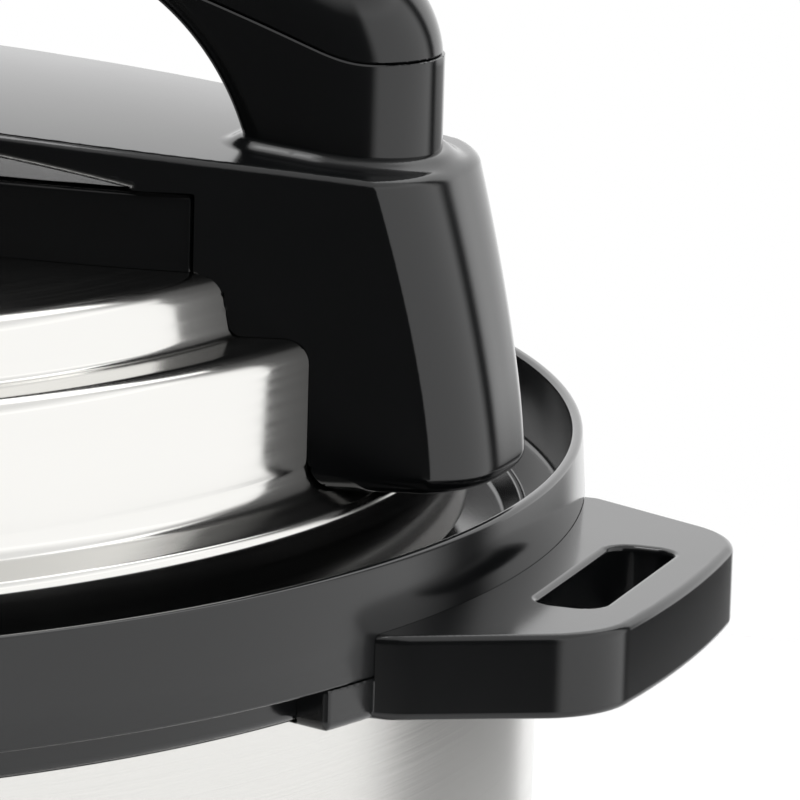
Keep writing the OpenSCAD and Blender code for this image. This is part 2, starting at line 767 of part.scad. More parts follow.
// One wing, lofted through its outlines from the bridge's top down to its lower end
module wing() {
    top = deck_top(wing_top);
    straight = wing_low + 6;
    function inset(z) = (wing_lean - wing_edge) * pow(max(0, z - straight) / (top - straight), 1.7);
    edge = [for (a = [90:-20:10]) let (z = top - wing_edge * (1 - sin(a)))
            [z, inset(z) + wing_edge * (1 - cos(a))]];
    face = [for (z = [38:-5:13]) [z, inset(z)]];
    foot = [[straight, 0], [wing_low + 2.6, 0], [wing_low + 0.8, 0.8], [wing_low, 2.6]];
    hull() for (l = concat(edge, face, foot)) translate([0, 0, l[0] - 0.1]) linear_extrude(0.1)
        wing_outline(wing_x - l[1], 6 + 2 * l[0] / top);
}

module handle_bridge() {
    crest = [for (x = steps(wing_top)) [-x, deck_top(x)]];
    under = slab_x - 8;
    belly = [for (x = steps(under))
             [x, max(slab_top + play, deck_top(x) - deck_t - 2 * pow(max(0, abs(x) - 66) / 33, 2))]];
    color("#1a1b1d") at_rim() difference() {
        union() {
            intersection() {
                across(deck_mid + 10) polygon(concat(crest, [[-wing_top, deck_top(wing_top) - 6],
                    [-under, slab_top + play]], belly, [[under, slab_top + play],
                    [wing_top, deck_top(wing_top) - 6]]));
                linear_extrude(far) {
                    polygon(closed([for (x = steps(deck_knee)) [x, deck_half(abs(x))]]));
                    both_ends() wing_outline(wing_top, 8);
                }
            }
            both_ends() wing();
        }
        across(deck_mid + 12) polygon(concat(flip(crest), [[wing_top + 20, deck_top(wing_top) - 1.6],
            [wing_top + 20, 80], [-wing_top - 20, 80], [-wing_top - 20, deck_top(wing_top) - 1.6]]));
        across(deck_mid + 12) polygon(concat([[-slab_x - 0.3, top_h - 12], [-slab_x - 0.3, slab_top + play]],
            belly, [[slab_x + 0.3, slab_top + play], [slab_x + 0.3, top_h - 12]]));
        lid_body(play);
        for (x = [-1, 1], y = [-1, 1]) translate([x * slab_screw_x, y * slab_screw_y, slab_top - 1])
            cylinder(h = 4.2, r = 2 + play);
        for (x = [-1, 1]) translate([x * grip_screw_x, 0, 0]) {
            cylinder(h = far, r = 2 + play);
            cylinder(h = grip_screw_z + play, r = 4 + play);
        }
    }
}

// Side outline of the whole grip: its top follows the seam and turns down into the posts
module grip_outline() {
    low = deck_top(wing_top) - 6;
    cap = grip_h - seam_high;
    turn_x = grip_x - grip_turn;
    lean = atan(2 * (seam_high - seam_low) * (turn_x - seam_flat) / pow(grip_x - seam_flat, 2));
    end_r = grip_turn / (1 - sin(lean));
    end_c = [turn_x, seam(turn_x) + cap] - end_r * [sin(lean), cos(lean)];
    large = [arch_x, arch_h - arch_large];
    small = large + (arch_large - arch_small) * [cos(arch_turn), sin(arch_turn)];
    half = concat([for (i = [0:12]) let (x = turn_x * i / 12) [x, seam(x) + cap]],
                  arc(end_c, end_r, 80 - lean, 0, 8),
                  [[grip_x, low]], arc(small, arch_small, 8, arch_turn, 8),
                  arc(large, arch_large, arch_turn, 90, 6), [[0, arch_h]]);
    polygon(concat(half, mirrored(half)));
}

module grip() {
    at_rim() difference() {
        intersection() {
            across(grip_w) grip_outline();
            linear_extrude(far) slot2d(2 * grip_x, grip_w, grip_w / 2 - 0.01);
        }
        across() polygon(concat([for (x = steps(wing_top)) [-x, deck_top(x) + play]],
                                [[-wing_top, 0], [wing_top, 0]]));
        for (x = [-1, 1]) translate([x * grip_screw_x, 0, 0]) cylinder(h = seam_low - 2, r = 2 + play);
    }
}

// The half of the grip above or below its seam
module seam_cut(up) {
    n = 32;
    line = [for (i = [0:n]) let (x = -grip_x - 4 + (2 * grip_x + 8) * i / n)
            [x, seam(x) + (up ? play : 0)]];
    end = up ? far : 0;
    at_rim() across() polygon(concat(line, [[grip_x + 4, end], [-grip_x - 4, end]]));
}

// Block whose top follows the grip's, with rounded long edges
module rounded_top() {
    half = concat([[grip_w / 2 + 2, 30]],
                  [for (a = [0:18:90]) [grip_w / 2 - grip_round * (1 - cos(a)), grip_round * (1 - sin(a))]]);
    profile = concat(half, [for (i = [len(half) - 1:-1:0]) [-half[i][0], half[i][1]]]);
    k = len(profile);
    xs = steps(grip_x + 1);
    points = [for (x = xs) for (p = profile) [x, p[0], seam(x) + grip_h - seam_high - p[1]]];
    last = (len(xs) - 1) * k;
    sides = [for (a = [0:k:last - k]) for (j = [0:k - 1]) let (b = (j + 1) % k)
             [a + j, a + k + j, a + k + b, a + b]];
    at_rim() polyhedron(points, concat(sides, [[for (j = [0:k - 1]) j]],
                                       [[for (j = [k - 1:-1:0]) last + j]]));
}

module grip_lower() { color("#1a1b1d") intersection() { grip(); seam_cut(false); } }
module grip_cap() { color("#1a1b1d") intersection() { grip(); rounded_top(); seam_cut(true); } }

module lid_screws() {
    color("#b9bcc0") at_rim() for (x = [-1, 1], y = [-1, 1])
        translate([x * slab_screw_x, y * slab_screw_y, top_h - lid_t - 2.2]) {
            cylinder(h = 2.2 - play, r = 3.6);
            cylinder(h = slab_top + 3 - top_h + lid_t + 2.2, r = 2);
        }
}

module grip_screws() {
    head_z = grip_screw_z - grip_head_t;
    color("#b9bcc0") at_rim() for (x = [-1, 1]) translate([x * grip_screw_x, 0, head_z]) {
        cylinder(h = grip_head_t, r = 3.8);
        cylinder(h = seam_low - 2.4 - head_z, r = 2);
    }
}

// ---- Valves -----------------------------------------------------------------------------------

module steam_pipe() {
    color("#c3c6c9") at_rim() translate([0, pipe_y, 0]) difference() {
        union() {
            translate([0, 0, top_h - 9]) cylinder(h = 22.5, r = pipe_r);
            translate([0, 0, top_h + 13.5]) cylinder(h = 1.5, r1 = pipe_r, r2 = pipe_r - 1.5);
            translate([0, 0, top_h + play]) cylinder(h = 5, r = pipe_r + 3);
            translate([0, 0, top_h - lid_t - 5 - play]) cylinder(h = 5, r = pipe_r + 4, $fn = 6);
        }
        cylinder(h = far, r = pipe_bore);
    }
}

module steam_shield() {
    h = 13;
    r = pipe_r + 8.5;
    color("#c3c6c9") at_rim() translate([0, pipe_y, top_h - lid_t - play - h]) difference() {
        cylinder(h = h, r = r);
        translate([0, 0, 1]) cylinder(h = h, r = r - 1);
        for (a = [0:45:315]) rotate(a) translate([0, 0, 3.4]) rotate([90, 0, 0])
            cylinder(h = 2 * r, r = 1.1);
        for (a = [22.5:45:360]) rotate(a) translate([0, 0, 6.6]) rotate([90, 0, 0])
            cylinder(h = 2 * r, r = 1.1);
    }
}

module steam_release() {
    base = top_h + play + 5 + run;
    color("#1a1b1d") at_rim() translate([0, pipe_y, base]) difference() {
        union() {
            turned([[0, 0], [13, 0], [14, 2], [12.4, 11], [11, 14], [8, 15.4], [0, 15.8]]);
            translate([0, 0, 6]) linear_extrude(9.2) slot2d(15, 50, 7.4);
        }
        translate([0, 0, -1]) cylinder(h = top_h + 15 - base + 1 + run, r = pipe_r + pin_run);
        for (a = [0:60:300]) rotate(a + 30) translate([9.6, 0, -1]) cylinder(h = 4, r = 1.5);
    }
}

module float_guide() {
    color("#1f2022") at_rim() translate([float_x, float_y, top_h + play]) difference() {
        turned([[0, 0], [10, 0], [10, 2], [8.4, 3.6], [0, 3.6]]);
        translate([0, 0, -1]) cylinder(h = 8, r = float_r + run);
    }
}

module float_pin() {
    low = top_h - lid_t - run - float_rise - 4;
    top = top_h + play + 3.6 + run;
    color("#c3c6c9") at_rim() translate([float_x, float_y, 0]) {
        translate([0, 0, low - 2]) cylinder(h = top - low + 2, r = float_r);
        translate([0, 0, low]) cylinder(h = 1.5, r = float_r + 3);
        translate([0, 0, top]) cylinder(h = 1.6, r1 = float_r + 1.6, r2 = float_r + 1);
    }
}

module float_seal() {
    low = top_h - lid_t - run - float_rise - 4;
    color("#b8503a") at_rim() translate([float_x, float_y, low + 1.5 + play]) difference() {
        cylinder(h = 2.4, r1 = float_r + 3.5, r2 = float_r + 2);
        translate([0, 0, -1]) cylinder(h = 6, r = float_r + play);
    }
}

feet();
bottom_cover();
cover_screws();
base_ring();
drum();
collar();
rim_tray();
left_lug();
right_lug();
liner();
heating_plate();
sensor_plunger();
inner_pot();
control_panel();
display_lens();
control_board();
power_board();
power_inlet();
inlet_pins();
collector_rails();
condensation_collector();
button_start();
button_cancel();
button_minus();
button_plus();
button_menu();
button_warm();
sealing_ring();
ring_rack();
lid_shell();
lid_slab();
handle_bridge();
grip_lower();
grip_cap();
lid_screws();
grip_screws();
steam_pipe();
steam_shield();
steam_release();
float_guide();
float_pin();
float_seal();
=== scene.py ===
"""Electric pressure cooker: turned steel, moulded plastic and their finishes over the fixed frame."""

import json
import math

import bmesh
import bpy
import numpy as np
from mathutils import Matrix, Vector


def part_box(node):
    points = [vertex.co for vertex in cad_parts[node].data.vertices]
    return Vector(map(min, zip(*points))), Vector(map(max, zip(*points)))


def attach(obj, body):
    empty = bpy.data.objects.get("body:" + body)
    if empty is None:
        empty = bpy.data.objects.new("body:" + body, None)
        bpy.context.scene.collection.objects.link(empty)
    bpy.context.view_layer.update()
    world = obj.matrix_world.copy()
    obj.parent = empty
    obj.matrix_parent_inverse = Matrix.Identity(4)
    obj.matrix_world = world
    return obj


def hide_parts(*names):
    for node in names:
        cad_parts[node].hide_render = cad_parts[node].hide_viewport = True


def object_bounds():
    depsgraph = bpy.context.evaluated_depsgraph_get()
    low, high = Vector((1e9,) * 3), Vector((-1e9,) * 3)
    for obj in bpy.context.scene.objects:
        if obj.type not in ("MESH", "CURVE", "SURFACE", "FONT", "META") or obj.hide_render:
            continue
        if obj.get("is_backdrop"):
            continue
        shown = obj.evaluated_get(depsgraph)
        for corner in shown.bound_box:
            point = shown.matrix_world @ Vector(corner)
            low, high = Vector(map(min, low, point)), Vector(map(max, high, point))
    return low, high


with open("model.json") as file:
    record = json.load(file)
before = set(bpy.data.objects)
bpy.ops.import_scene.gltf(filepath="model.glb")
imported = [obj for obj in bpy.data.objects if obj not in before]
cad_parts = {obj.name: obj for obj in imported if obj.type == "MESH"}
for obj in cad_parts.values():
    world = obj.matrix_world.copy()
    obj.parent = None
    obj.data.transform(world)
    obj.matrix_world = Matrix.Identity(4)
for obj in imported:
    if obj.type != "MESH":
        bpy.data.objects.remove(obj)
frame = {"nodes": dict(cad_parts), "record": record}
cad_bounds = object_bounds()

MM = 0.001
PLAY = 0.05  # between pieces that are fixed together


def top_of(node):
    """Height of a node's top in millimetres."""
    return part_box(node)[1].z / MM


def reach_of(node):
    """How far a node reaches along +X, in millimetres."""
    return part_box(node)[1].x / MM


# Heights below are millimetres above the collar's lip, radii are from the cooker's axis.
RIM = top_of("collar")

# ---- Steel pieces ----------------------------------------------------------------------------

LID_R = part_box("lid_shell")[1].y / MM
LID_TOP = top_of("lid_shell") - RIM
LID_STEEL = 1.2
FLANGE = 6.5
CROWN_R = LID_R - FLANGE
LEDGE = 23.4
PLATEAU_R = CROWN_R - 13.8
SKIRT = -10.0
LID_DRAFT = math.radians(10)
TOP_ROUND = 3.5
LEDGE_COVE = 1.5
LEDGE_ROUND = 3.2
FLANGE_TILT = math.radians(20)
FLANGE_COVE = 3.5
FLANGE_EDGE = 1.78
FLANGE_ROUND = 1.6
TAB_T = 1.7
TAB_IN = LID_R - 9.0
TAB_COUNT = 6
TAB_ANGLE = 26.0

# ---- Collar and drum -------------------------------------------------------------------------

BAND_R = reach_of("collar")
LIP_R = BAND_R - 0.6
LIP_IN = LIP_R - 1.6
DRUM_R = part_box("drum")[1].x / MM
DRUM_WALL = 0.8
BEAD_R = DRUM_R + 0.9
BAND_LOW = -14.4
COLLAR_LOW = -19.4
LEDGE_IN = -12.3
MOAT = -15.0
TRAY_T = 1.6
POT_RIM = 7.6
POT_TO_LINER = 2.7
LINER_OUT = reach_of("inner_pot") - POT_RIM + POT_TO_LINER

# ---- Handle ----------------------------------------------------------------------------------

SLAB_X = reach_of("lid_slab")
SLAB_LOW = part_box("lid_slab")[0].z / MM - RIM
SLAB_TOP = top_of("lid_slab") - RIM
SLAB_HALF_MID = 25.3
SLAB_HALF_END = 23.0
SLAB_FLAT = SLAB_X - 28
WING_X = reach_of("handle_bridge")
WING_TOP = WING_X - 9.8
WING_LOW = 3.0
WING_FOOT = LIP_IN - 0.7
WING_INSET = 8.4
WING_HALF = 16.2
WING_SPREAD = 2.6
WING_BOW = 6.8
RIDGE_ROUND = 1.8
RIDGE_SLANT = 0.85
WING_ROUND = 2.6
WING_TAPER = 0.27
DECK_MID = 52.0
DECK_DROP = 7.4
DECK_T = 3.6
DECK_EDGE = 1.2
KEEL_FROM = 66
KEEL_RUN = 33
KEEL_SINK = 2
KEEL_END = 8.3
KEEL_ROUND = 1.1
DECK_CROWN = 1.1
DECK_KNEE = WING_TOP - 21.5
DECK_HALF_MID = 30.5
DECK_HALF_END = 22.9
GRIP_X = reach_of("grip_lower")
GRIP_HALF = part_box("grip_cap")[1].y / MM
GRIP_TOP = top_of("grip_cap") - RIM
ARCH = 71.7
ARCH_LARGE = 39.7
ARCH_SMALL = 33.5
ARCH_TURN = math.radians(57)
ARCH_X = GRIP_X - 58.8
SEAM_LOW = 58.3
SEAM_HIGH = 80.0
SEAM_FLAT = 16.0
SEAM_LEVEL = GRIP_X - 8
POST_IN = ARCH_X + 35.7
ARCH_EDGE = 3.5
PAD = 0.5
PAD_OUT = 0.6
PAD_FILLET = 3

# ---- Lugs ------------------------------------------------------------------------------------

LUG_X = reach_of("right_lug")
LUG_TOP = top_of("right_lug") - RIM
LUG_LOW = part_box("right_lug")[0].z / MM - RIM
LUG_FLAT = 20.7
LUG_CORNER = 14.0
LUG_BOW = 238.0
LUG_FLANK = math.radians(28)
LUG_ROOT = 42.6
SLOT_W = 9.2
SLOT_L = 35.0
SLOT_IN = 7.0
SLOT_CORNER = 3.2
SLOT_EDGE = 0.8
LUG_EDGE = 1.1
ROOT_ROUND = 1.2
CLIP_ROUND = 1.4
CLIP_ANGLE = math.radians(20.4)


# ---- Outlines --------------------------------------------------------------------------------

def path(points, steps=6):
    """Open outline through the points, each corner with a third value rounded by that radius."""
    line = []
    for i, point in enumerate(points):
        corner = np.array(point[:2], float)
        radius = point[2] if len(point) > 2 else 0
        if radius == 0 or i in (0, len(points) - 1):
            line.append(corner)
            continue
        back = np.array(points[i - 1][:2], float) - corner
        ahead = np.array(points[i + 1][:2], float) - corner
        back /= np.linalg.norm(back)
        ahead /= np.linalg.norm(ahead)
        half = math.acos(np.clip(back @ ahead, -1, 1)) / 2
        centre = corner + (back + ahead) / np.linalg.norm(back + ahead) * radius / math.sin(half)
        first = corner + back * radius / math.tan(half) - centre
        last = corner + ahead * radius / math.tan(half) - centre
        sweep = math.pi - 2 * half
        for s in np.linspace(0, 1, steps + 1):
            weight = math.sin((1 - s) * sweep), math.sin(s * sweep)
            line.append(centre + (first * weight[0] + last * weight[1]) / math.sin(sweep))
    return line


def moved_in(line, distance):
    """The same outline moved sideways, to the right of its direction."""
    line = np.array(line)
    ahead = np.gradient(line, axis=0)
    ahead /= np.linalg.norm(ahead, axis=1)[:, None]
    return list(line + distance * np.stack([ahead[:, 1], -ahead[:, 0]], 1))


# ---- Meshes ----------------------------------------------------------------------------------

def new_object(name, mesh):
    """Puts a mesh into the scene."""
    piece = bpy.data.objects.new(name, mesh)
    bpy.context.scene.collection.objects.link(piece)
    return piece


def smooth_by_angle(mesh, degrees=32):
    """Smooth shading that breaks at edges sharper than the angle."""
    bm = bmesh.new()
    bm.from_mesh(mesh)
    for face in bm.faces:
        face.smooth = True
    for edge in bm.edges:
        edge.smooth = edge.is_manifold and edge.calc_face_angle(0) < math.radians(degrees)
    bm.to_mesh(mesh)
    bm.free()


def lathe(name, outline, segments=256, closed=True, radius_at=None):
    """Turned piece from an outline of (radius, height) in millimetres above the lip."""
    bm = bmesh.new()
    rings = []
    for s in range(segments):
        turn = 2 * math.pi * s / segments
        ring = []
        for i, (r, z) in enumerate(outline):
            r = radius_at(i, r, turn) if radius_at else r
            ring.append((r * math.cos(turn) * MM, r * math.sin(turn) * MM, (z + RIM) * MM))
        rings.append([bm.verts.new(p) for p in ring])
    count = len(outline)
    for s in range(segments):
        here, there = rings[s], rings[(s + 1) % segments]
        for i in range(count if closed else count - 1):
            j = (i + 1) % count
            bm.faces.new((here[i], there[i], there[j], here[j]))
    bmesh.ops.remove_doubles(bm, verts=bm.verts, dist=1e-7)
    bmesh.ops.recalc_face_normals(bm, faces=bm.faces)
    mesh = bpy.data.meshes.new(name)
    bm.to_mesh(mesh)
    bm.free()
    smooth_by_angle(mesh)
    return new_object(name, mesh)


# ---- Moulded pieces: a distance field is meshed where it is zero ------------------------------

def both(a, b, r, slant=0.0):
    """What lies in a and in b, its edge rounded by r; slant is the cosine between their normals."""
    a_in, b_in = a + r, b + r
    wide = np.maximum(a_in ** 2 + b_in ** 2 - 2 * slant * a_in * b_in, 0) / (1 - slant ** 2)
    on_edge = (a_in > slant * b_in) & (b_in > slant * a_in)
    return np.where(on_edge, np.sqrt(wide) - r, np.maximum(a, b))


def either(a, b, r):
    """What lies in a or in b, their inner corner filled by r."""
    return np.maximum(r, np.minimum(a, b)) - np.hypot(np.maximum(r - a, 0), np.maximum(r - b, 0))


def rounded_box(u, v, half_u, half_v, r):
    """Distance from a rectangle with rounded corners round the origin."""
    a = np.abs(u) - half_u + r
    b = np.abs(v) - half_v + r
    return np.minimum(np.maximum(a, b), 0) + np.hypot(np.maximum(a, 0), np.maximum(b, 0)) - r


def slope_of(field, at, reach=0.02):
    """Gradient of a field at points of shape (n, 3)."""
    parts = []
    for axis in range(3):
        step = np.zeros(3)
        step[axis] = reach
        parts.append((field(*(at + step).T) - field(*(at - step).T)) / (2 * reach))
    return np.stack(parts, 1)


def settle(field, at, rounds=3, limit=0.4):
    """Moves points onto the surface of a field."""
    for _ in range(rounds):
        grad = slope_of(field, at)
        size = np.maximum((grad ** 2).sum(1), 0.05)
        shift = grad * (field(*at.T) / size)[:, None]
        length = np.linalg.norm(shift, axis=1)[:, None]
        at = at - shift * np.minimum(1, limit / np.maximum(length, 1e-9))
    return at


def net(field, low, high, step):
    """Vertices, quads and cells of the surface where the field is zero."""
    axes = [np.arange(a - step, b + 2 * step, step) for a, b in zip(low, high)]
    f = np.empty([len(a) for a in axes], np.float32)
    for i in range(0, len(axes[0]), 16):
        grid = np.meshgrid(axes[0][i:i + 16], axes[1], axes[2], indexing="ij", sparse=True)
        f[i:i + 16] = field(*grid)
    inside = f < 0
    corners = [(i, j, k) for i in (0, 1) for j in (0, 1) for k in (0, 1)]
    shape = [n - 1 for n in f.shape]

    def shifted(array, c):
        return array[c[0]:c[0] + shape[0], c[1]:c[1] + shape[1], c[2]:c[2] + shape[2]]

    hits = sum(shifted(inside, c).astype(np.int8) for c in corners)
    cells = np.argwhere((hits > 0) & (hits < 8))
    number = np.full(shape, -1, np.int32)
    number[tuple(cells.T)] = np.arange(len(cells))
    values = [f[tuple((cells + c).T)] for c in corners]
    total = np.zeros((len(cells), 3))
    crossed = np.zeros(len(cells))
    for a, ca in enumerate(corners):
        for b, cb in enumerate(corners):
            if b <= a or sum(abs(p - q) for p, q in zip(ca, cb)) != 1:
                continue
            cut = (values[a] < 0) != (values[b] < 0)
            share = values[a][cut] / (values[a][cut] - values[b][cut])
            total[cut] += np.array(ca) + share[:, None] * (np.array(cb) - np.array(ca))
            crossed[cut] += 1
    origin = np.array([a[0] for a in axes])
    points = origin + step * (cells + total / crossed[:, None])
    quads = []
    for axis in range(3):
        ahead = [0, 0, 0]
        ahead[axis] = 1
        one = inside[:f.shape[0] - ahead[0], :f.shape[1] - ahead[1], :f.shape[2] - ahead[2]]
        two = inside[ahead[0]:, ahead[1]:, ahead[2]:]
        u, v = [np.eye(3, dtype=int)[(axis + n) % 3] for n in (1, 2)]
        edges = np.argwhere(one != two)
        edges = edges[(edges[:, (axis + 1) % 3] > 0) & (edges[:, (axis + 2) % 3] > 0)]
        flip = two[tuple(edges.T)]
        ring = np.stack([number[tuple((edges - o).T)] for o in (u + v, v, 0 * u, u)], 1)
        ring[flip] = ring[flip][:, ::-1]
        quads.append(ring)
    return points, np.concatenate(quads), origin + step * cells


def to_edges(faces, points, cells, step):
    """Moves a point onto the edge between two faces where that edge runs through its cell."""
    values = np.stack([f(*points.T) for f in faces])
    first, second = np.argsort(-values, axis=0)[:2]
    near = values[second, np.arange(len(points))] > -1.5 * step
    for i in range(len(faces)):
        for j in range(i):
            meet = (np.maximum(first, second) == i) & (np.minimum(first, second) == j)
            pick = np.flatnonzero(near & meet)
            at = points[pick]
            for _ in range(4):
                a, b = faces[i](*at.T), faces[j](*at.T)
                ga, gb = slope_of(faces[i], at), slope_of(faces[j], at)
                aa, bb, ab = (ga * ga).sum(1), (gb * gb).sum(1), (ga * gb).sum(1)
                det = np.maximum(aa * bb - ab * ab, 0.02)
                shift = ((a * bb - b * ab) / det)[:, None] * ga + ((b * aa - a * ab) / det)[:, None] * gb
                at = at - np.clip(shift, -step, step)
            held = ((at > cells[pick] - 0.05) & (at < cells[pick] + step + 0.05)).all(1)
            points[pick[held]] = at[held]
    return points


def mesh_of(name, points, faces):
    """Mesh from points and faces of one size."""
    mesh = bpy.data.meshes.new(name)
    mesh.vertices.add(len(points))
    mesh.vertices.foreach_set("co", points.ravel())
    mesh.loops.add(faces.size)
    mesh.loops.foreach_set("vertex_index", faces.ravel())
    mesh.polygons.add(len(faces))
    mesh.polygons.foreach_set("loop_start", np.arange(len(faces)) * faces.shape[1])
    mesh.update(calc_edges=True)
    return mesh


def vertices_of(mesh):
    """Coordinates of a mesh as an array."""
    points = np.empty(len(mesh.vertices) * 3)
    mesh.vertices.foreach_get("co", points)
    return points.reshape(-1, 3)


def thinned(mesh, ratio):
    """A copy with fewer triangles where the surface is flat."""
    holder = new_object("thinning", mesh)
    holder.modifiers.new("fewer", "DECIMATE").ratio = ratio
    ready = holder.evaluated_get(bpy.context.evaluated_depsgraph_get())
    result = bpy.data.meshes.new_from_object(ready)
    bpy.data.objects.remove(holder)
    return result


def give_normals(mesh, field):
    """Shading from the field itself, so that flat triangles don't show on gloss."""
    points = vertices_of(mesh) / MM - np.array([0, 0, RIM])
    mesh.polygons.foreach_set("use_smooth", np.ones(len(mesh.polygons), bool))
    flat, middle = np.empty(len(mesh.polygons) * 3), np.empty(len(mesh.polygons) * 3)
    mesh.polygons.foreach_get("normal", flat)
    mesh.polygons.foreach_get("center", middle)
    sizes = np.empty(len(mesh.polygons), int)
    mesh.polygons.foreach_get("loop_total", sizes)
    corner = np.empty(len(mesh.loops), int)
    mesh.loops.foreach_get("vertex_index", corner)
    faces = np.repeat(flat.reshape(-1, 3), sizes, axis=0)
    middle = np.repeat(middle.reshape(-1, 3) / MM - np.array([0, 0, RIM]), sizes, axis=0)
    normals = slope_of(field, points[corner] + 0.12 * (middle - points[corner]))
    normals /= np.maximum(np.linalg.norm(normals, axis=1), 1e-6)[:, None]
    astray = (normals * faces).sum(1) < 0.8
    normals[astray] = faces[astray]
    mesh.normals_split_custom_set([tuple(n) for n in normals])


def mould(name, faces, low, high, step=0.5, ratio=0.3):
    """Moulded piece inside all the given faces, each a field in millimetres above the lip."""
    def field(x, y, z):
        return np.maximum.reduce([f(x, y, z) for f in faces])

    points, quads, cells = net(field, low, high, step)
    points = settle(field, points)
    if len(faces) > 1:
        points = to_edges(faces, points, cells, step)
    raw = mesh_of(name, (points + np.array([0, 0, RIM])) * MM, quads)
    mesh = thinned(raw, ratio)
    points = settle(field, vertices_of(mesh) / MM - np.array([0, 0, RIM]), 2)
    mesh.vertices.foreach_set("co", ((points + np.array([0, 0, RIM])) * MM).ravel())
    mesh.update()
    give_normals(mesh, field)
    mesh.name = name
    return new_object(name, mesh)


# ---- Fields of the handle --------------------------------------------------------------------

def deck_top(x, y=0.0):
    """Height of the bridge's crowned top."""
    return DECK_MID - DECK_DROP * (x / WING_TOP) ** 2 - DECK_CROWN * (y / DECK_HALF_MID) ** 2


def deck_half(x):
    """Half width of the bridge and its wings at distance x from the middle."""
    share = np.minimum(x, DECK_KNEE) / DECK_KNEE
    bowed = DECK_HALF_MID - (DECK_HALF_MID - DECK_HALF_END) * share ** 4
    return bowed - WING_TAPER * np.maximum(0, x - DECK_KNEE)


def crest(x):
    """Height of the curve that the grip's top follows, less the cap's thickness."""
    run = np.maximum(0, np.abs(x) - SEAM_FLAT) / (GRIP_X - SEAM_FLAT)
    return SEAM_HIGH - (SEAM_HIGH - SEAM_LOW) * run ** 2


def seam(x):
    """Height of the seam, which levels out over the posts."""
    run = np.maximum(0, np.abs(x) - SEAM_FLAT) / (SEAM_LEVEL - SEAM_FLAT)
    fall = SEAM_HIGH - (SEAM_HIGH - SEAM_LOW) * run ** 2
    soft = 1.2
    return (fall + SEAM_LOW + np.sqrt((fall - SEAM_LOW) ** 2 + soft ** 2)) / 2


def lid_field(r, z):
    """Distance from the lid's outer face."""
    wall = (r - PLATEAU_R - TOP_ROUND / math.cos(LID_DRAFT)) * math.cos(LID_DRAFT)
    wall = wall + (z - LID_TOP + TOP_ROUND) * math.sin(LID_DRAFT)
    plateau = both(wall, z - LID_TOP, TOP_ROUND)
    crown = both(r - CROWN_R, z - LEDGE, LEDGE_ROUND)
    bevel = (z - FLANGE_EDGE) * math.cos(FLANGE_TILT) + (r - LID_R) * math.sin(FLANGE_TILT)
    flange = both(r - LID_R, bevel, FLANGE_ROUND)
    return either(either(plateau, crown, LEDGE_COVE), flange, FLANGE_COVE)


def post_plan(x, y):
    """Distance from the round-ended outline of the grip, seen from above."""
    return np.hypot(np.maximum(x - GRIP_X + GRIP_HALF, 0), y) - GRIP_HALF


def bridge_body(x, y, z):
    """Deck and wings as one moulding, before its seats are cut."""
    x = np.abs(x)
    narrowing = np.minimum(4 * (DECK_HALF_MID - DECK_HALF_END) * x ** 3 / DECK_KNEE ** 4, WING_TAPER)
    side = (np.abs(y) - deck_half(x)) / np.sqrt(1 + narrowing ** 2)
    height = deck_top(WING_TOP)
    rise = np.maximum(0, z - WING_LOW) / (height - WING_LOW)
    lean = WING_INSET * 1.4 / (height - WING_LOW) * rise ** 0.4
    half = WING_HALF + WING_SPREAD * np.minimum(rise, 1.2)
    across = np.minimum(np.abs(y) / half, 1.6)
    bow = WING_BOW * 3 / half * across ** 2
    outer = x - WING_FOOT + WING_INSET * rise ** 1.4 + WING_BOW * across ** 3
    outer = outer / np.sqrt(1 + lean ** 2 + bow ** 2)
    shape = both(outer, side, RIDGE_ROUND, RIDGE_SLANT)
    fall = 2 * DECK_DROP * x / WING_TOP ** 2
    shape = both(shape, (z - deck_top(x, y)) / np.sqrt(1 + fall ** 2), DECK_EDGE)
    shape = both(shape, WING_LOW - z, WING_ROUND)
    keel = deck_top(x) - DECK_T - KEEL_SINK * (np.maximum(0, x - KEEL_FROM) / KEEL_RUN) ** 2
    shape = both(shape, -np.maximum(z - keel, x - SLAB_X + KEEL_END), KEEL_ROUND)
    foot = both(post_plan(x, y), POST_IN - x, ARCH_EDGE) - PAD_OUT
    return either(shape, both(foot, z - deck_top(x) - PAD, 0.3), PAD_FILLET)


def slab_seat(x, y, z):
    """What the slab leaves free under the bridge."""
    return -np.maximum(np.abs(x) - SLAB_X - 0.3, z - SLAB_TOP - PLAY) + 0 * y


def lid_seat(x, y, z):
    """What the lid leaves free under the wings."""
    return 0.06 - lid_field(np.hypot(x, y), z)


def arch_void(x, z):
    """Distance from the opening under the grip."""
    large = np.hypot(x - ARCH_X, z - ARCH + ARCH_LARGE)
    angle = np.arctan2(z - ARCH + ARCH_LARGE, x - ARCH_X)
    small_x = ARCH_X + (ARCH_LARGE - ARCH_SMALL) * math.cos(ARCH_TURN)
    small_z = ARCH - ARCH_LARGE + (ARCH_LARGE - ARCH_SMALL) * math.sin(ARCH_TURN)
    small = np.hypot(x - small_x, z - small_z)
    void = np.where(angle > ARCH_TURN, large - ARCH_LARGE, small - ARCH_SMALL)
    return np.where(x < ARCH_X, z - ARCH, void)


def grip_field(x, y, z, inset=0.0):
    """The whole grip: a bar whose top follows the seam and turns down into two round posts."""
    x = np.abs(x)
    fall = 2 * (SEAM_HIGH - SEAM_LOW) * np.maximum(0, x - SEAM_FLAT) / (GRIP_X - SEAM_FLAT) ** 2
    top = (z - crest(x) - GRIP_TOP + SEAM_HIGH) / np.sqrt(1 + fall ** 2)
    bar = both(top, post_plan(x, y), 8 + 2.4 * np.clip((x - 100) / 22, 0, 1))
    return both(bar, -arch_void(x, z), ARCH_EDGE) + inset


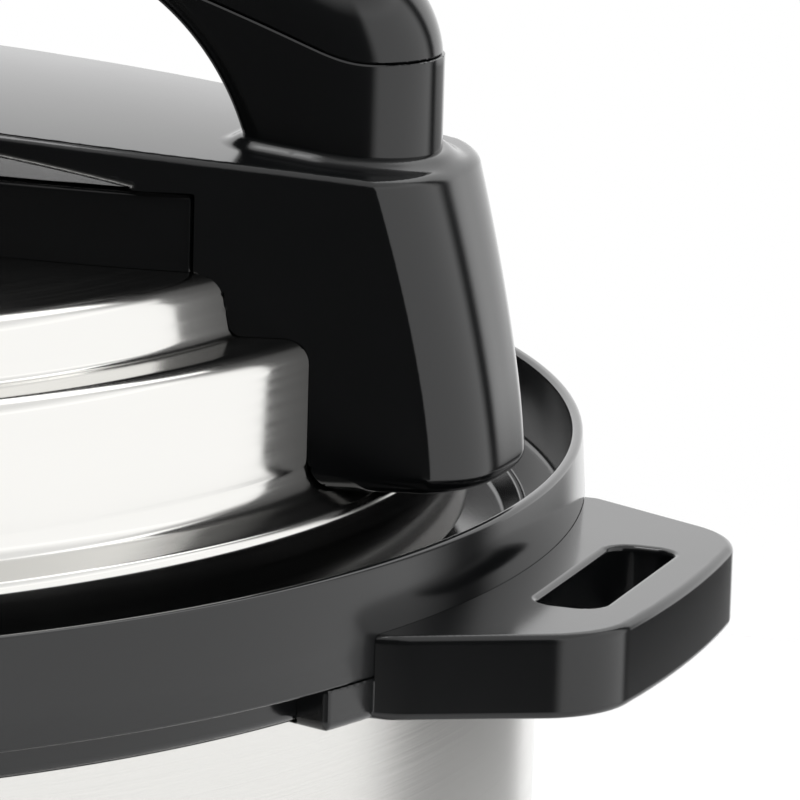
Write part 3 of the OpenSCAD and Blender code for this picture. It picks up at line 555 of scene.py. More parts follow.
def grip_half(name, upper, inset=0.0):
    """The part of the grip above or below its seam, with a fine broken edge there."""
    gap = 0.08

    def body(x, y, z):
        return grip_field(x, y, z, inset)

    def seat(x, y, z):
        return deck_top(x, y) + PAD + 0.06 - z

    def field(x, y, z):
        return np.maximum(body(x, y, z), seat(x, y, z))

    low = (-GRIP_X, -GRIP_HALF, 30)
    high = (GRIP_X, GRIP_HALF, GRIP_TOP)
    piece = mould(name, [body, seat], low, high, 0.5, 0.4)
    bm = bmesh.new()
    bm.from_mesh(piece.data)
    for v in bm.verts:
        v.co.z -= (seam(v.co.x / MM) + RIM) * MM
    side = 1 if upper else -1
    for depth, clear in ((0.3, False), (gap, True)):
        bmesh.ops.bisect_plane(bm, geom=bm.verts[:] + bm.edges[:] + bm.faces[:], dist=1e-8,
                               plane_co=(0, 0, side * depth * MM), plane_no=(0, 0, -side),
                               clear_outer=clear)
    rim = [v for v in bm.verts if abs(v.co.z - side * gap * MM) < 1e-7]
    bmesh.ops.holes_fill(bm, edges=[e for e in bm.edges if e.is_boundary], sides=0)
    for v in bm.verts:
        v.co.z += (seam(v.co.x / MM) + RIM) * MM
    at = np.array([v.co for v in rim]) / MM - np.array([0, 0, RIM])
    slope = slope_of(field, at)
    slope[:, 2] = 0
    slope /= np.maximum(np.linalg.norm(slope, axis=1), 1e-6)[:, None]
    for v, out in zip(rim, slope):
        v.co -= Vector(out) * 0.18 * MM
    bmesh.ops.triangulate(bm, faces=[f for f in bm.faces if len(f.verts) > 4])
    bm.to_mesh(piece.data)
    bm.free()
    give_normals(piece.data, field)
    return piece


def slab_body(x, y, z):
    """The slab's bowed sides and softly broken upper edges."""
    run = np.maximum(0, np.abs(x) - SLAB_FLAT) / (SLAB_X - SLAB_FLAT)
    side = np.abs(y) - SLAB_HALF_MID + (SLAB_HALF_MID - SLAB_HALF_END) * run ** 2
    return both(both(side - 0.25 * run, z - SLAB_TOP, 1.4), np.abs(x) - SLAB_X, 1.1)


def slab_limits(x, y, z):
    """The slab's flat underside."""
    return SLAB_LOW - z + 0 * x + 0 * y


def lug_body(x, y, z):
    """A lug: bowed end, round corners, straight flanks, slot and the foot under the band."""
    end = np.hypot(x - LUG_X + LUG_BOW, y) - LUG_BOW
    turn = math.asin(LUG_FLAT / (LUG_BOW - LUG_CORNER))
    corner_x = LUG_X - LUG_BOW + (LUG_BOW - LUG_CORNER) * math.cos(turn)
    across = math.sin(LUG_FLANK)
    along = math.cos(LUG_FLANK)
    flank = (x - corner_x) * across + (np.abs(y) - LUG_FLAT) * along - LUG_CORNER
    plan = both(end, flank, LUG_CORNER, math.cos(math.pi / 2 - LUG_FLANK - turn))
    plan = both(plan, np.abs(y) - LUG_ROOT, ROOT_ROUND)
    middle = (LUG_TOP + LUG_LOW) / 2
    plate = both(plan, np.abs(z - middle) - (LUG_TOP - LUG_LOW) / 2, LUG_EDGE)
    slot_x = LUG_X - SLOT_IN - SLOT_W / 2
    slot = rounded_box(x - slot_x, y, SLOT_W / 2, SLOT_L / 2, SLOT_CORNER)
    plate = both(plate, -slot, SLOT_EDGE)
    r = np.hypot(x, y)
    foot = np.maximum(np.abs(np.arctan2(y, x)) - CLIP_ANGLE, -1) * BAND_R
    foot = both(both(foot, r - BAND_R, SLOT_EDGE), LUG_LOW - z, CLIP_ROUND)
    foot = np.maximum(foot, z - BAND_LOW + PLAY)
    return np.minimum(plate, foot)


def band_seat(x, y, z):
    """What the band leaves free."""
    return -np.maximum(np.hypot(x, y) - BAND_R - PLAY, BAND_LOW - PLAY - z)


def bead_seat(x, y, z):
    """What the drum and the bead leave free."""
    r = np.hypot(x, y)
    bead = np.maximum(r - BEAD_R - PLAY, COLLAR_LOW - PLAY - z)
    return np.maximum(DRUM_R + PLAY - r, -bead)


def turned_round(piece, name):
    """A copy of a piece turned by half a turn round the cooker's axis."""
    mesh = piece.data.copy()
    mesh.name = name
    normals = [(-n.vector.x, -n.vector.y, n.vector.z) for n in mesh.corner_normals]
    for v in mesh.vertices:
        v.co = (-v.co.x, -v.co.y, v.co.z)
    mesh.normals_split_custom_set(normals)
    return new_object(name, mesh)


# ---- Shader groups ---------------------------------------------------------------------------

def srgb(code):
    """Linear colour of a hex code."""
    parts = [int(code[i:i + 2], 16) / 255 for i in (0, 2, 4)]
    return [c / 12.92 if c < 0.04045 else ((c + 0.055) / 1.055) ** 2.4 for c in parts] + [1]


def new_group(name, inputs, outputs):
    """Empty shader group with named number inputs and outputs, and its two end nodes."""
    tree = bpy.data.node_groups.new(name, "ShaderNodeTree")
    for label, value in inputs.items():
        socket = tree.interface.new_socket(label, in_out="INPUT", socket_type="NodeSocketFloat")
        socket.default_value = value
    for label in outputs:
        tree.interface.new_socket(label, in_out="OUTPUT", socket_type="NodeSocketFloat")
    return tree, tree.nodes.new("NodeGroupInput"), tree.nodes.new("NodeGroupOutput")


def calc(tree, operation, a, b=None, c=None):
    """A Math node on sockets or numbers, and its result."""
    node = tree.nodes.new("ShaderNodeMath")
    node.operation = operation
    for socket, value in zip(node.inputs, (a, b, c)):
        if isinstance(value, (int, float)):
            socket.default_value = value
        elif value is not None:
            tree.links.new(value, socket)
    return node.outputs[0]


def noise(tree, vector, scale, detail=2.0, roughness=0.5):
    """A Noise Texture node, and its value."""
    node = tree.nodes.new("ShaderNodeTexNoise")
    node.inputs["Detail"].default_value = detail
    node.inputs["Roughness"].default_value = roughness
    tree.links.new(vector, node.inputs["Vector"])
    if isinstance(scale, (int, float)):
        node.inputs["Scale"].default_value = scale
    else:
        tree.links.new(scale, node.inputs["Scale"])
    return node.outputs[0]


def object_coordinates(tree):
    """Coordinates that move with the piece."""
    return tree.nodes.new("ShaderNodeTexCoord").outputs["Object"]


def spread(tree, value, low, high, to_low, to_high):
    """Maps a value from one range to another, held at its ends."""
    node = tree.nodes.new("ShaderNodeMapRange")
    for label, setting in zip(("Value", "From Min", "From Max", "To Min", "To Max"),
                              (value, low, high, to_low, to_high)):
        if isinstance(setting, (int, float)):
            node.inputs[label].default_value = setting
        else:
            tree.links.new(setting, node.inputs[label])
    return node.outputs[0]


def make_moulded_skin():
    """Fine texture of a moulded surface, and the soft smudges that handling leaves."""
    tree, given, result = new_group("moulded_skin", {
        "Grain Scale": 2600, "Smudge Scale": 24, "Low": 0.25, "High": 0.35},
        ("Height", "Roughness"))
    at = object_coordinates(tree)
    fine = noise(tree, at, given.outputs["Grain Scale"], 3)
    wave = noise(tree, at, 180, 1)
    height = calc(tree, "MULTIPLY_ADD", wave, 0.8, fine)
    tree.links.new(height, result.inputs["Height"])
    cloud = noise(tree, at, given.outputs["Smudge Scale"], 5, 0.6)
    rough = spread(tree, cloud, 0.35, 0.7, given.outputs["Low"], given.outputs["High"])
    tree.links.new(rough, result.inputs["Roughness"])
    return tree


def make_turning_lines():
    """Fine lines that run round the cooker's axis, as turning or polishing leaves them."""
    tree, given, result = new_group("turning_lines", {
        "Line Scale": 1800, "Run": 1.5, "Low": 0.12, "High": 0.22}, ("Tone", "Height", "Roughness"))
    split = tree.nodes.new("ShaderNodeSeparateXYZ")
    tree.links.new(object_coordinates(tree), split.inputs[0])
    x, y, z = split.outputs
    radius = calc(tree, "SQRT", calc(tree, "ADD", calc(tree, "MULTIPLY", x, x),
                                     calc(tree, "MULTIPLY", y, y)))
    angle = calc(tree, "ARCTAN2", y, x)
    join = tree.nodes.new("ShaderNodeCombineXYZ")
    tree.links.new(calc(tree, "MULTIPLY", radius, given.outputs["Line Scale"]), join.inputs[0])
    tree.links.new(calc(tree, "MULTIPLY", z, given.outputs["Line Scale"]), join.inputs[1])
    tree.links.new(calc(tree, "MULTIPLY", angle, given.outputs["Run"]), join.inputs[2])
    lines = noise(tree, join.outputs[0], 1.0, 4, 0.6)
    patches = noise(tree, object_coordinates(tree), 30, 3)
    tone = spread(tree, lines, 0.3, 0.7, 0.92, 1.0)
    tree.links.new(tone, result.inputs["Tone"])
    tree.links.new(lines, result.inputs["Height"])
    mixed = calc(tree, "ADD", calc(tree, "MULTIPLY", lines, 0.6), calc(tree, "MULTIPLY", patches, 0.4))
    rough = spread(tree, mixed, 0.35, 0.65, given.outputs["Low"], given.outputs["High"])
    tree.links.new(rough, result.inputs["Roughness"])
    return tree


def make_settled_dust():
    """Where a little dust settles: on faces that look up, broken into patches."""
    tree, given, result = new_group("settled_dust", {"Amount": 0.1}, ("Mask",))
    split = tree.nodes.new("ShaderNodeSeparateXYZ")
    tree.links.new(tree.nodes.new("ShaderNodeNewGeometry").outputs["Normal"], split.inputs[0])
    up = spread(tree, split.outputs[2], 0.6, 1.0, 0.0, 1.0)
    cloud = spread(tree, noise(tree, object_coordinates(tree), 55, 6, 0.65), 0.4, 0.75, 0.0, 1.0)
    mask = calc(tree, "MULTIPLY", calc(tree, "MULTIPLY", up, cloud), given.outputs["Amount"])
    tree.links.new(mask, result.inputs["Mask"])
    return tree


MOULDED_SKIN = make_moulded_skin()
TURNING_LINES = make_turning_lines()
SETTLED_DUST = make_settled_dust()


# ---- Materials -------------------------------------------------------------------------------

def new_material(name, colour, roughness, metallic=0.0, **sockets):
    """Material with its Principled shader; constants are set on the shader's own sockets."""
    material = bpy.data.materials.new(name)
    material.use_nodes = True
    shader = material.node_tree.nodes["Principled BSDF"]
    shader.inputs["Base Color"].default_value = srgb(colour)
    shader.inputs["Roughness"].default_value = roughness
    shader.inputs["Metallic"].default_value = metallic
    for label, value in sockets.items():
        shader.inputs[label.replace("_", " ")].default_value = value
    return material, material.node_tree, shader


def place(tree, group, **values):
    """Puts a shader group in a material with its own values."""
    node = tree.nodes.new("ShaderNodeGroup")
    node.node_tree = group
    for label, value in values.items():
        node.inputs[label.replace("_", " ")].default_value = value
    return node


def bump(tree, shader, height, distance, strength=1.0):
    """Relief from a height into the shader."""
    node = tree.nodes.new("ShaderNodeBump")
    node.inputs["Distance"].default_value = distance
    node.inputs["Strength"].default_value = strength
    tree.links.new(height, node.inputs["Height"])
    tree.links.new(node.outputs[0], shader.inputs["Normal"])


def tint(tree, shader, factor, one, two):
    """Base colour between two colours by a factor."""
    mix = tree.nodes.new("ShaderNodeMix")
    mix.data_type = "RGBA"
    mix.inputs[6].default_value = srgb(one)
    mix.inputs[7].default_value = srgb(two)
    tree.links.new(factor, mix.inputs[0])
    tree.links.new(mix.outputs[2], shader.inputs["Base Color"])


def plastic(name, colour, dusty, low, high, grain=2600, depth=0.000001, dust=0.06):
    """Moulded plastic: grain, smudges in its gloss and a trace of dust."""
    material, tree, shader = new_material(name, colour, low, IOR=1.55)
    skin = place(tree, MOULDED_SKIN, Grain_Scale=grain, Low=low, High=high)
    tree.links.new(skin.outputs["Roughness"], shader.inputs["Roughness"])
    bump(tree, shader, skin.outputs["Height"], depth)
    mask = place(tree, SETTLED_DUST, Amount=dust)
    tint(tree, shader, mask.outputs["Mask"], colour, dusty)
    return material


def steel(name, colour, dark, low, high, lines=1800, run=1.5, depth=0.000002):
    """Steel with fine lines round the axis in its tone, gloss and relief."""
    material, tree, shader = new_material(name, colour, low, 1.0)
    turning = place(tree, TURNING_LINES, Line_Scale=lines, Run=run, Low=low, High=high)
    tree.links.new(turning.outputs["Roughness"], shader.inputs["Roughness"])
    bump(tree, shader, turning.outputs["Height"], depth)
    tint(tree, shader, turning.outputs["Tone"], dark, colour)
    return material


def cast_metal(name, colour, dark, low, high):
    """Cast or pressed metal with a grainy skin."""
    material, tree, shader = new_material(name, colour, low, 1.0)
    skin = place(tree, MOULDED_SKIN, Grain_Scale=1400, Smudge_Scale=60, Low=low, High=high)
    tree.links.new(skin.outputs["Roughness"], shader.inputs["Roughness"])
    bump(tree, shader, skin.outputs["Height"], 0.00002)
    tone = spread(tree, noise(tree, object_coordinates(tree), 90, 4), 0.3, 0.7, 0.0, 1.0)
    tint(tree, shader, tone, dark, colour)
    return material


def board_material():
    """Circuit board: lacquer over a fine weave."""
    material, tree, shader = new_material("board_green", "1d5a38", 0.35, Coat_Weight=0.4)
    at = object_coordinates(tree)
    tint(tree, shader, spread(tree, noise(tree, at, 900, 2), 0.4, 0.6, 0.0, 1.0), "17482c", "266e45")
    bump(tree, shader, noise(tree, at, 2400, 1), 0.00001)
    return material


def display_material():
    """Smoked window of the display."""
    material, tree, shader = new_material("display_glass", "05080b", 0.06, Coat_Weight=0.5)
    at = object_coordinates(tree)
    rough = spread(tree, noise(tree, at, 40, 4), 0.4, 0.7, 0.05, 0.12)
    tree.links.new(rough, shader.inputs["Roughness"])
    tint(tree, shader, noise(tree, at, 60, 3), "04070a", "0a1016")
    return material


def collector_material():
    """Smoky see-through plastic of the condensation cup."""
    material, tree, shader = new_material("collector_smoke", "3c4046", 0.15, IOR=1.5)
    shader.inputs["Transmission Weight"].default_value = 0.7
    at = object_coordinates(tree)
    rough = spread(tree, noise(tree, at, 70, 4), 0.4, 0.7, 0.12, 0.22)
    tree.links.new(rough, shader.inputs["Roughness"])
    tint(tree, shader, noise(tree, at, 45, 3), "34383e", "474c53")
    return material


MATERIALS = {
    "black_gloss": plastic("black_gloss", "0e0f10", "8a8a86", 0.12, 0.17, dust=0.015),
    "black_satin": plastic("black_satin", "101112", "8a8a86", 0.28, 0.36, dust=0.04),
    "polished_steel": steel("polished_steel", "e3e2df", "cfcecb", 0.1, 0.18),
    "brushed_steel": steel("brushed_steel", "d9d8d5", "c2c1be", 0.16, 0.24, 3400, 2.0, 0.000002),
    "pressed_steel": cast_metal("pressed_steel", "c6c8ca", "a4a7a9", 0.25, 0.4),
    "cast_aluminium": cast_metal("cast_aluminium", "b4b6b8", "8f9294", 0.4, 0.55),
    "silicone": plastic("silicone", "c6c1b8", "e6e2da", 0.5, 0.62, 1500, 0.00001),
    "red_silicone": plastic("red_silicone", "b04430", "c98a7c", 0.5, 0.6, 1500, 0.00001),
    "foot_rubber": plastic("foot_rubber", "1d1e20", "6c6a66", 0.6, 0.75, 1100, 0.00002),
    "display_glass": display_material(),
    "board_green": board_material(),
    "button_grey": plastic("button_grey", "2b2d30", "7f7f7c", 0.32, 0.42),
    "collector_smoke": collector_material(),
    "brass_pins": cast_metal("brass_pins", "c8ad62", "a08848", 0.22, 0.35),
}


# ---- Pieces ----------------------------------------------------------------------------------

def body_of(node):
    """The moving body that the record gives a node."""
    return next(b for b, nodes in frame["record"]["behaviour"]["bodies"].items() if node in nodes)


def slot_of(node):
    """The material slot that the record gives a node."""
    return next(part["material_slot"] for part in frame["record"]["subparts"] if part["node"] == node)


def stand_for(piece, node, slot):
    """Gives a piece its finish, and puts it in the place of a CAD node."""
    piece.data.materials.clear()
    piece.data.materials.append(MATERIALS[slot])
    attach(piece, body_of(node))
    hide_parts(node)


def make_lid():
    """The lid's spun steel with its bayonet tabs."""
    flare = math.tan(LID_DRAFT)
    wall_x = PLATEAU_R + TOP_ROUND * (1 / math.cos(LID_DRAFT) - flare)
    slope_z = FLANGE_EDGE + FLANGE * math.tan(FLANGE_TILT)
    outer = path([
        (0, LID_TOP), (wall_x, LID_TOP, TOP_ROUND),
        (wall_x + (LID_TOP - LEDGE) * flare, LEDGE, LEDGE_COVE), (CROWN_R, LEDGE, LEDGE_ROUND),
        (CROWN_R, slope_z, FLANGE_COVE), (LID_R, FLANGE_EDGE, FLANGE_ROUND), (LID_R, SKIRT)], 8)
    inner = moved_in(outer[:-1], LID_STEEL)
    inner[0][0] = 0
    inside = LID_R - LID_STEEL
    tab = [(inside, SKIRT + TAB_T), (TAB_IN, SKIRT + TAB_T), (TAB_IN, SKIRT)]
    line = outer + tab[::-1] + inner[::-1]
    first = len(outer)

    def radius_at(i, r, turn):
        step = 2 * math.pi / TAB_COUNT
        off = abs((turn + step / 2) % step - step / 2)
        if i in (first, first + 1) and off > math.radians(TAB_ANGLE / 2):
            return inside
        return r

    piece = lathe("steel_lid", line, 360, False, radius_at)
    stand_for(piece, "lid_shell", "polished_steel")


def make_collar():
    """The collar, and the gutter inside it."""
    deep = COLLAR_LOW - 4
    groove = COLLAR_LOW + 1.9
    under = MOAT - TRAY_T
    tray_r = DRUM_R - DRUM_WALL - 1.4
    line = path([
        (LIP_IN, -6), (LIP_IN, 0, 0.7), (LIP_R, 0, 0.7), (BAND_R, -9, 4), (BAND_R, BAND_LOW, 0.5),
        (BEAD_R, BAND_LOW, 0.4), (BEAD_R, COLLAR_LOW, 1.4), (DRUM_R + PLAY, COLLAR_LOW),
        (DRUM_R + PLAY, groove), (DRUM_R - DRUM_WALL - PLAY, groove), (DRUM_R - DRUM_WALL - PLAY, deep),
        (DRUM_R - 3, deep), (DRUM_R - 3, under - 1.2), (tray_r - 4, under - 1.2), (tray_r - 4, under),
        (tray_r, under), (tray_r, LEDGE_IN, 0.3), (LIP_IN, LEDGE_IN, 1), (LIP_IN, -6)])
    stand_for(lathe("black_collar", line[:-1], 320), "collar", "black_gloss")
    inner, outer = LINER_OUT + PLAY, tray_r - PLAY
    line = path([
        (inner, under + PLAY), (outer, under + PLAY), (outer, LEDGE_IN, 0.3), (outer - 0.6, LEDGE_IN, 0.4),
        (outer - 2.6, MOAT, 1), (LINER_OUT + 2, MOAT, 0.6), (LINER_OUT + 2, MOAT + 2, 0.4),
        (inner, MOAT + 2)])
    stand_for(lathe("gutter", line, 320), "rim_tray", "black_gloss")


def make_drum():
    """The drum's brushed sheet."""
    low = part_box("drum")[0].z / MM - RIM
    high = top_of("drum") - RIM
    line = path([(DRUM_R, low), (DRUM_R, high), (DRUM_R - DRUM_WALL, high), (DRUM_R - DRUM_WALL, low)])
    stand_for(lathe("steel_drum", line, 320), "drum", "brushed_steel")


def make_handle():
    """The bridge, the slab and both halves of the grip."""
    bridge = mould("bridge", [bridge_body, slab_seat, lid_seat], (-WING_FOOT, -DECK_HALF_MID, WING_LOW),
                   (WING_FOOT, DECK_HALF_MID, DECK_MID + 1), 0.55, 0.36)
    stand_for(bridge, "handle_bridge", "black_gloss")
    slab = mould("slab", [slab_body, slab_limits], (-SLAB_X, -SLAB_HALF_MID, SLAB_LOW),
                 (SLAB_X, SLAB_HALF_MID, SLAB_TOP), 0.6, 0.3)
    stand_for(slab, "lid_slab", "black_gloss")
    stand_for(grip_half("grip_lower_half", False), "grip_lower", "black_gloss")
    stand_for(grip_half("grip_upper_half", True, 0.25), "grip_cap", "black_gloss")


def make_lugs():
    """Both carrying lugs."""
    right = mould("carrying_lug_right", [lug_body, band_seat, bead_seat],
                  (DRUM_R - 8, -55, LUG_LOW), (LUG_X, 55, LUG_TOP), 0.45, 0.4)
    left = turned_round(right, "carrying_lug_left")
    stand_for(right, "right_lug", "black_gloss")
    stand_for(left, "left_lug", "black_gloss")


def round_off(mesh):
    """Faces that lie on a cylinder round the axis are shaded as that cylinder."""
    normals = [n.vector.copy() for n in mesh.corner_normals]
    for face in mesh.polygons:
        flat = [Vector((*mesh.vertices[v].co.xy, 0)) for v in face.vertices]
        radii = [p.length for p in flat]
        out = Vector((*face.center.xy, 0)).normalized()
        facing = face.normal.dot(out)
        if max(radii) - min(radii) < 0.08 * MM and abs(facing) > 0.97 and min(radii) > 60 * MM:
            for loop, p in zip(face.loop_indices, flat):
                normals[loop] = p.normalized() * math.copysign(1, facing)
    mesh.normals_split_custom_set(normals)


def broken_edges(node, width=0.25, degrees=32):
    """A copy of a CAD node with smooth faces and finely broken edges, in its place."""
    source = frame["nodes"][node]
    mesh = source.data.copy()
    mesh.transform(source.matrix_world)
    bm = bmesh.new()
    bm.from_mesh(mesh)
    bmesh.ops.remove_doubles(bm, verts=bm.verts, dist=1e-6)
    bmesh.ops.dissolve_limit(bm, angle_limit=math.radians(0.6), verts=bm.verts, edges=bm.edges)
    bm.to_mesh(mesh)
    bm.free()
    holder = new_object("breaking", mesh)
    if width:
        bevel = holder.modifiers.new("edge", "BEVEL")
        bevel.width = width * MM
        bevel.segments = 2
        bevel.limit_method = "ANGLE"
        bevel.angle_limit = math.radians(degrees)
        bevel.use_clamp_overlap = True
    ready = holder.evaluated_get(bpy.context.evaluated_depsgraph_get())
    result = bpy.data.meshes.new_from_object(ready)
    bpy.data.objects.remove(holder)
    smooth_by_angle(result, degrees)
    round_off(result)
    result.name = "fine_" + node
    piece = new_object("fine_" + node, result)
    stand_for(piece, node, slot_of(node))
    return piece


def finish_cad_nodes():
    """Every CAD node that no piece replaces gets its finish."""
    for name, node in frame["nodes"].items():
        node.data.materials.clear()
        node.data.materials.append(MATERIALS[slot_of(name)])


EDGED = {"feet": 0.4, "bottom_cover": 0.25, "base_ring": 0.4, "control_panel": 0.5, "display_lens": 0.15,
         "power_inlet": 0.3, "inlet_pins": 0.2, "collector_rails": 0.3, "condensation_collector": 0.3,
         "button_start": 0.25, "button_cancel": 0.25, "button_plus": 0.25, "button_minus": 0.25,
         "button_menu": 0.25, "button_warm": 0.25, "heating_plate": 0.3, "sensor_plunger": 0.3,
         "control_board": 0.0, "power_board": 0.2, "steam_pipe": 0.15, "steam_shield": 0.12,
         "steam_release": 0.6, "float_guide": 0.3, "float_pin": 0.2, "float_seal": 0.2,
         "cover_screws": 0.2, "lid_screws": 0.2, "grip_screws": 0.2, "liner": 0.0, "inner_pot": 0.0,
         "sealing_ring": 0.0, "ring_rack": 0.0}


def make_fine_copies():
    """Finer copies of every node in EDGED."""
    for node, width in EDGED.items():
        broken_edges(node, width)


# ---- Signs on the panel ----------------------------------------------------------------------

SEGMENTS = {"0": "abcdef", "3": "abcdg"}
LENS_SUNK = 0.15


def digit_bars(digit, x, z, wide=7.0, high=13.0, thick=1.3):
    """Bars (x0, z0, x1, z1) of a seven-bar digit centred at x, z."""
    half_w, half_h, t = wide / 2, high / 2, thick
    gap = 0.3
    bars = {
        "a": (-half_w, half_h - t, half_w, half_h),
        "b": (half_w - t, gap, half_w, half_h - t - gap),
        "c": (half_w - t, t - half_h + gap, half_w, -gap),
        "d": (-half_w, -half_h, half_w, t - half_h),
        "e": (-half_w, t - half_h + gap, t - half_w, -gap),
        "f": (-half_w, gap, t - half_w, half_h - t - gap),
        "g": (-half_w, -t / 2, half_w, t / 2)}
    return [(x + x0, z + z0, x + x1, z + z1) for x0, z0, x1, z1 in (bars[s] for s in SEGMENTS[digit])]


def bars_on(name, bars, radius, raised, body, material):
    """Thin bars laid on a face that is round about the axis, in front of the cooker."""
    bm = bmesh.new()
    for x0, z0, x1, z1 in bars:
        corners = [(x0, z0), (x1, z0), (x1, z1), (x0, z1)]
        inner, outer = ([bm.verts.new((x * MM, -math.sqrt(r * r - x * x) * MM, z * MM)) for x, z in corners]
                        for r in (radius - 0.05, radius + raised))
        bm.faces.new(outer)
        bm.faces.new(inner[::-1])
        for i in range(4):
            j = (i + 1) % 4
            bm.faces.new((outer[j], outer[i], inner[i], inner[j]))
    bmesh.ops.recalc_face_normals(bm, faces=bm.faces)
    mesh = bpy.data.meshes.new(name)
    bm.to_mesh(mesh)
    bm.free()
    piece = new_object(name, mesh)
    piece.data.materials.append(material)
    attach(piece, body)


def sink_front(mesh, radius, depth):
    """Moves a round front face back towards the axis."""
    for v in mesh.vertices:
        r = math.hypot(v.co.x, v.co.y) / MM
        if r > radius - depth:
            v.co.xy *= (radius - depth) / r


def sign_material(name, one, two, glow):
    """Printed or glowing signs with a slightly uneven tone."""
    material, tree, shader = new_material(name, one, 0.5)
    shade = spread(tree, noise(tree, object_coordinates(tree), 400, 3), 0.35, 0.65, 0.0, 1.0)
    tint(tree, shader, shade, one, two)
    shader.inputs["Emission Color"].default_value = srgb(one)
    shader.inputs["Emission Strength"].default_value = glow
    return material


def make_signs():
    """The display's number and a plain sign on each button."""
    low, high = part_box("display_lens")
    middle = (low.z + high.z) / 2 / MM
    front = -low.y / MM
    bars = sum((digit_bars(d, x, middle) for d, x in zip("0030", (-18, -8, 8, 18))), [])
    bars += [(-0.7, middle + s * 3 - 0.7, 0.7, middle + s * 3 + 0.7) for s in (-1, 1)]
    glowing = sign_material("display_digits", "e8f4ff", "d2e6f6", 0.8)
    sink_front(bpy.data.meshes["fine_display_lens"], front, LENS_SUNK)
    bars_on("display_digits", bars, front - LENS_SUNK, 0.1, "base", glowing)
    printed = sign_material("printed_sign", "d8d8d4", "c4c4c0", 0.0)
    signs = {"plus": [(-2.4, -0.35, 2.4, 0.35), (-0.35, 0.36, 0.35, 2.4), (-0.35, -2.4, 0.35, -0.36)],
             "minus": [(-2.4, -0.35, 2.4, 0.35)],
             "menu": [(-2.2, z - 0.3, 2.2, z + 0.3) for z in (-1.6, 0, 1.6)],
             "warm": [(x - 0.3, -2, x + 0.3, 2) for x in (-1.6, 0, 1.6)],
             "start": [(-0.35, -2.4, 0.35, 2.4)],
             "cancel": [(-2, -2, 2, -1.4), (-2, 1.4, 2, 2), (-2, -1.39, -1.4, 1.39), (1.4, -1.39, 2, 1.39)]}
    for key, bars in signs.items():
        node = "button_" + key
        low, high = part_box(node)
        x, z = (low.x + high.x) / 2 / MM, (low.z + high.z) / 2 / MM
        placed = [(x + x0, z + z0, x + x1, z + z1) for x0, z0, x1, z1 in bars]
        bars_on("sign_" + key, placed, front + 0.6, 0.12, body_of(node), printed)


# ---- Studio ----------------------------------------------------------------------------------

CAMERA_AT = Vector((0.4174, -0.8193, 0.433))
CAMERA_TURN = math.radians(-19.40)
CAMERA_TILT = math.radians(-12.59)
CAMERA_ROLL = math.radians(1.62)


def make_camera():
    """The camera, level but for its small roll."""
    data = bpy.data.cameras.new("camera")
    data.sensor_width = 36
    data.lens = 301.7
    camera = bpy.data.objects.new("camera", data)
    bpy.context.scene.collection.objects.link(camera)
    ahead = Vector((math.sin(CAMERA_TURN) * math.cos(CAMERA_TILT),
                    math.cos(CAMERA_TURN) * math.cos(CAMERA_TILT), math.sin(CAMERA_TILT)))
    turn = ahead.to_track_quat("-Z", "Y")
    camera.rotation_euler = (turn.to_matrix() @ Matrix.Rotation(CAMERA_ROLL, 3, "Z")).to_euler()
    camera.location = CAMERA_AT
    bpy.context.scene.camera = camera


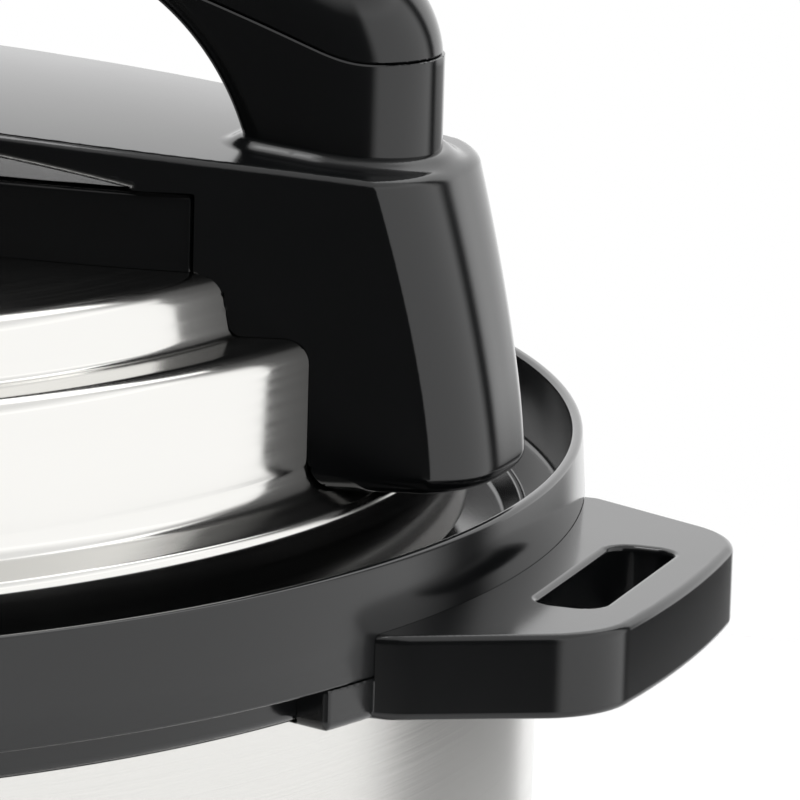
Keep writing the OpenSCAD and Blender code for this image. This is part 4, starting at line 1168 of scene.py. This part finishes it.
def make_floor():
    """Round white floor that fades out into the white background."""
    bm = bmesh.new()
    bmesh.ops.create_circle(bm, cap_ends=True, radius=1.0, segments=96)
    mesh = bpy.data.meshes.new("floor")
    bm.to_mesh(mesh)
    bm.free()
    floor = new_object("floor", mesh)
    material, tree, shader = new_material("floor", "f4f4f4", 0.7)
    split = tree.nodes.new("ShaderNodeVectorMath")
    split.operation = "LENGTH"
    tree.links.new(object_coordinates(tree), split.inputs[0])
    tree.links.new(spread(tree, split.outputs["Value"], 0.35, 0.95, 1.0, 0.0), shader.inputs["Alpha"])
    mesh.materials.append(material)
    floor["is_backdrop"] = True


def make_world():
    """White for the camera; for the object a studio with walls of light and dark between them."""
    world = bpy.data.worlds.new("studio")
    bpy.context.scene.world = world
    world.use_nodes = True
    tree = world.node_tree
    background = tree.nodes["Background"]
    split = tree.nodes.new("ShaderNodeSeparateXYZ")
    tree.links.new(tree.nodes.new("ShaderNodeTexCoord").outputs["Generated"], split.inputs[0])
    x, y, z = split.outputs
    angle = calc(tree, "MULTIPLY", calc(tree, "ARCTAN2", y, x), 180 / math.pi)

    def wall(centre, half, soft, low, high, strength):
        """A lit wall round an azimuth in degrees, between two heights of the view ray."""
        off = calc(tree, "ABSOLUTE", calc(tree, "SUBTRACT", angle, centre))
        side = spread(tree, off, half, half + soft, 1.0, 0.0)
        foot = spread(tree, z, low - 0.12, low, 0.0, 1.0)
        head = spread(tree, z, high, high + 0.2, 1.0, 0.0)
        lit = calc(tree, "MULTIPLY", side, calc(tree, "MULTIPLY", foot, head))
        return calc(tree, "MULTIPLY", lit, strength)

    right = wall(centre=4, half=38, soft=9, low=-0.7, high=0.6, strength=1.18)
    back = wall(centre=110, half=48, soft=6, low=-0.1, high=0.75, strength=1.25)
    deep = wall(centre=126, half=34, soft=8, low=-0.9, high=0.75, strength=1.25)
    below = calc(tree, "MULTIPLY", deep, spread(tree, z, -0.22, -0.1, 1.0, 0.0))
    above = calc(tree, "MULTIPLY", spread(tree, z, 0.55, 0.8, 0.0, 1.0), 0.9)
    total = calc(tree, "ADD", right, 0.06)
    for part in (back, below, above):
        total = calc(tree, "ADD", total, part)
    path_info = tree.nodes.new("ShaderNodeLightPath")
    seen = calc(tree, "MAXIMUM", path_info.outputs["Is Camera Ray"],
                path_info.outputs["Is Transmission Ray"])
    strength = calc(tree, "ADD", calc(tree, "MULTIPLY", total, calc(tree, "SUBTRACT", 1.0, seen)), seen)
    tree.links.new(strength, background.inputs["Strength"])
    background.inputs["Color"].default_value = (1, 1, 1, 1)


def make_lamp(name, place_at, aim, size, watts):
    """A round area lamp that the camera does not see."""
    data = bpy.data.lights.new(name, "AREA")
    data.shape = "DISK"
    data.size = size
    data.energy = watts
    lamp = bpy.data.objects.new(name, data)
    bpy.context.scene.collection.objects.link(lamp)
    lamp.location = place_at
    lamp.rotation_euler = (Vector(aim) - Vector(place_at)).to_track_quat("-Z", "Y").to_euler()
    lamp.visible_camera = False


def make_studio():
    """Camera, floor, world and lamp."""
    bpy.context.scene.view_settings.view_transform = "Standard"
    make_camera()
    make_floor()
    make_world()
    make_lamp("top_lamp", place_at=(-0.5, -0.2, 1.6), aim=(0, 0, 0.2), size=0.9, watts=9)


make_studio()
finish_cad_nodes()
make_drum()
make_collar()
make_lid()
make_handle()
make_lugs()
make_fine_copies()
make_signs()

both_bounds = {"cad": cad_bounds, "visual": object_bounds()}
{k: [list(map(float, corner)) for corner in v] for k, v in both_bounds.items()}
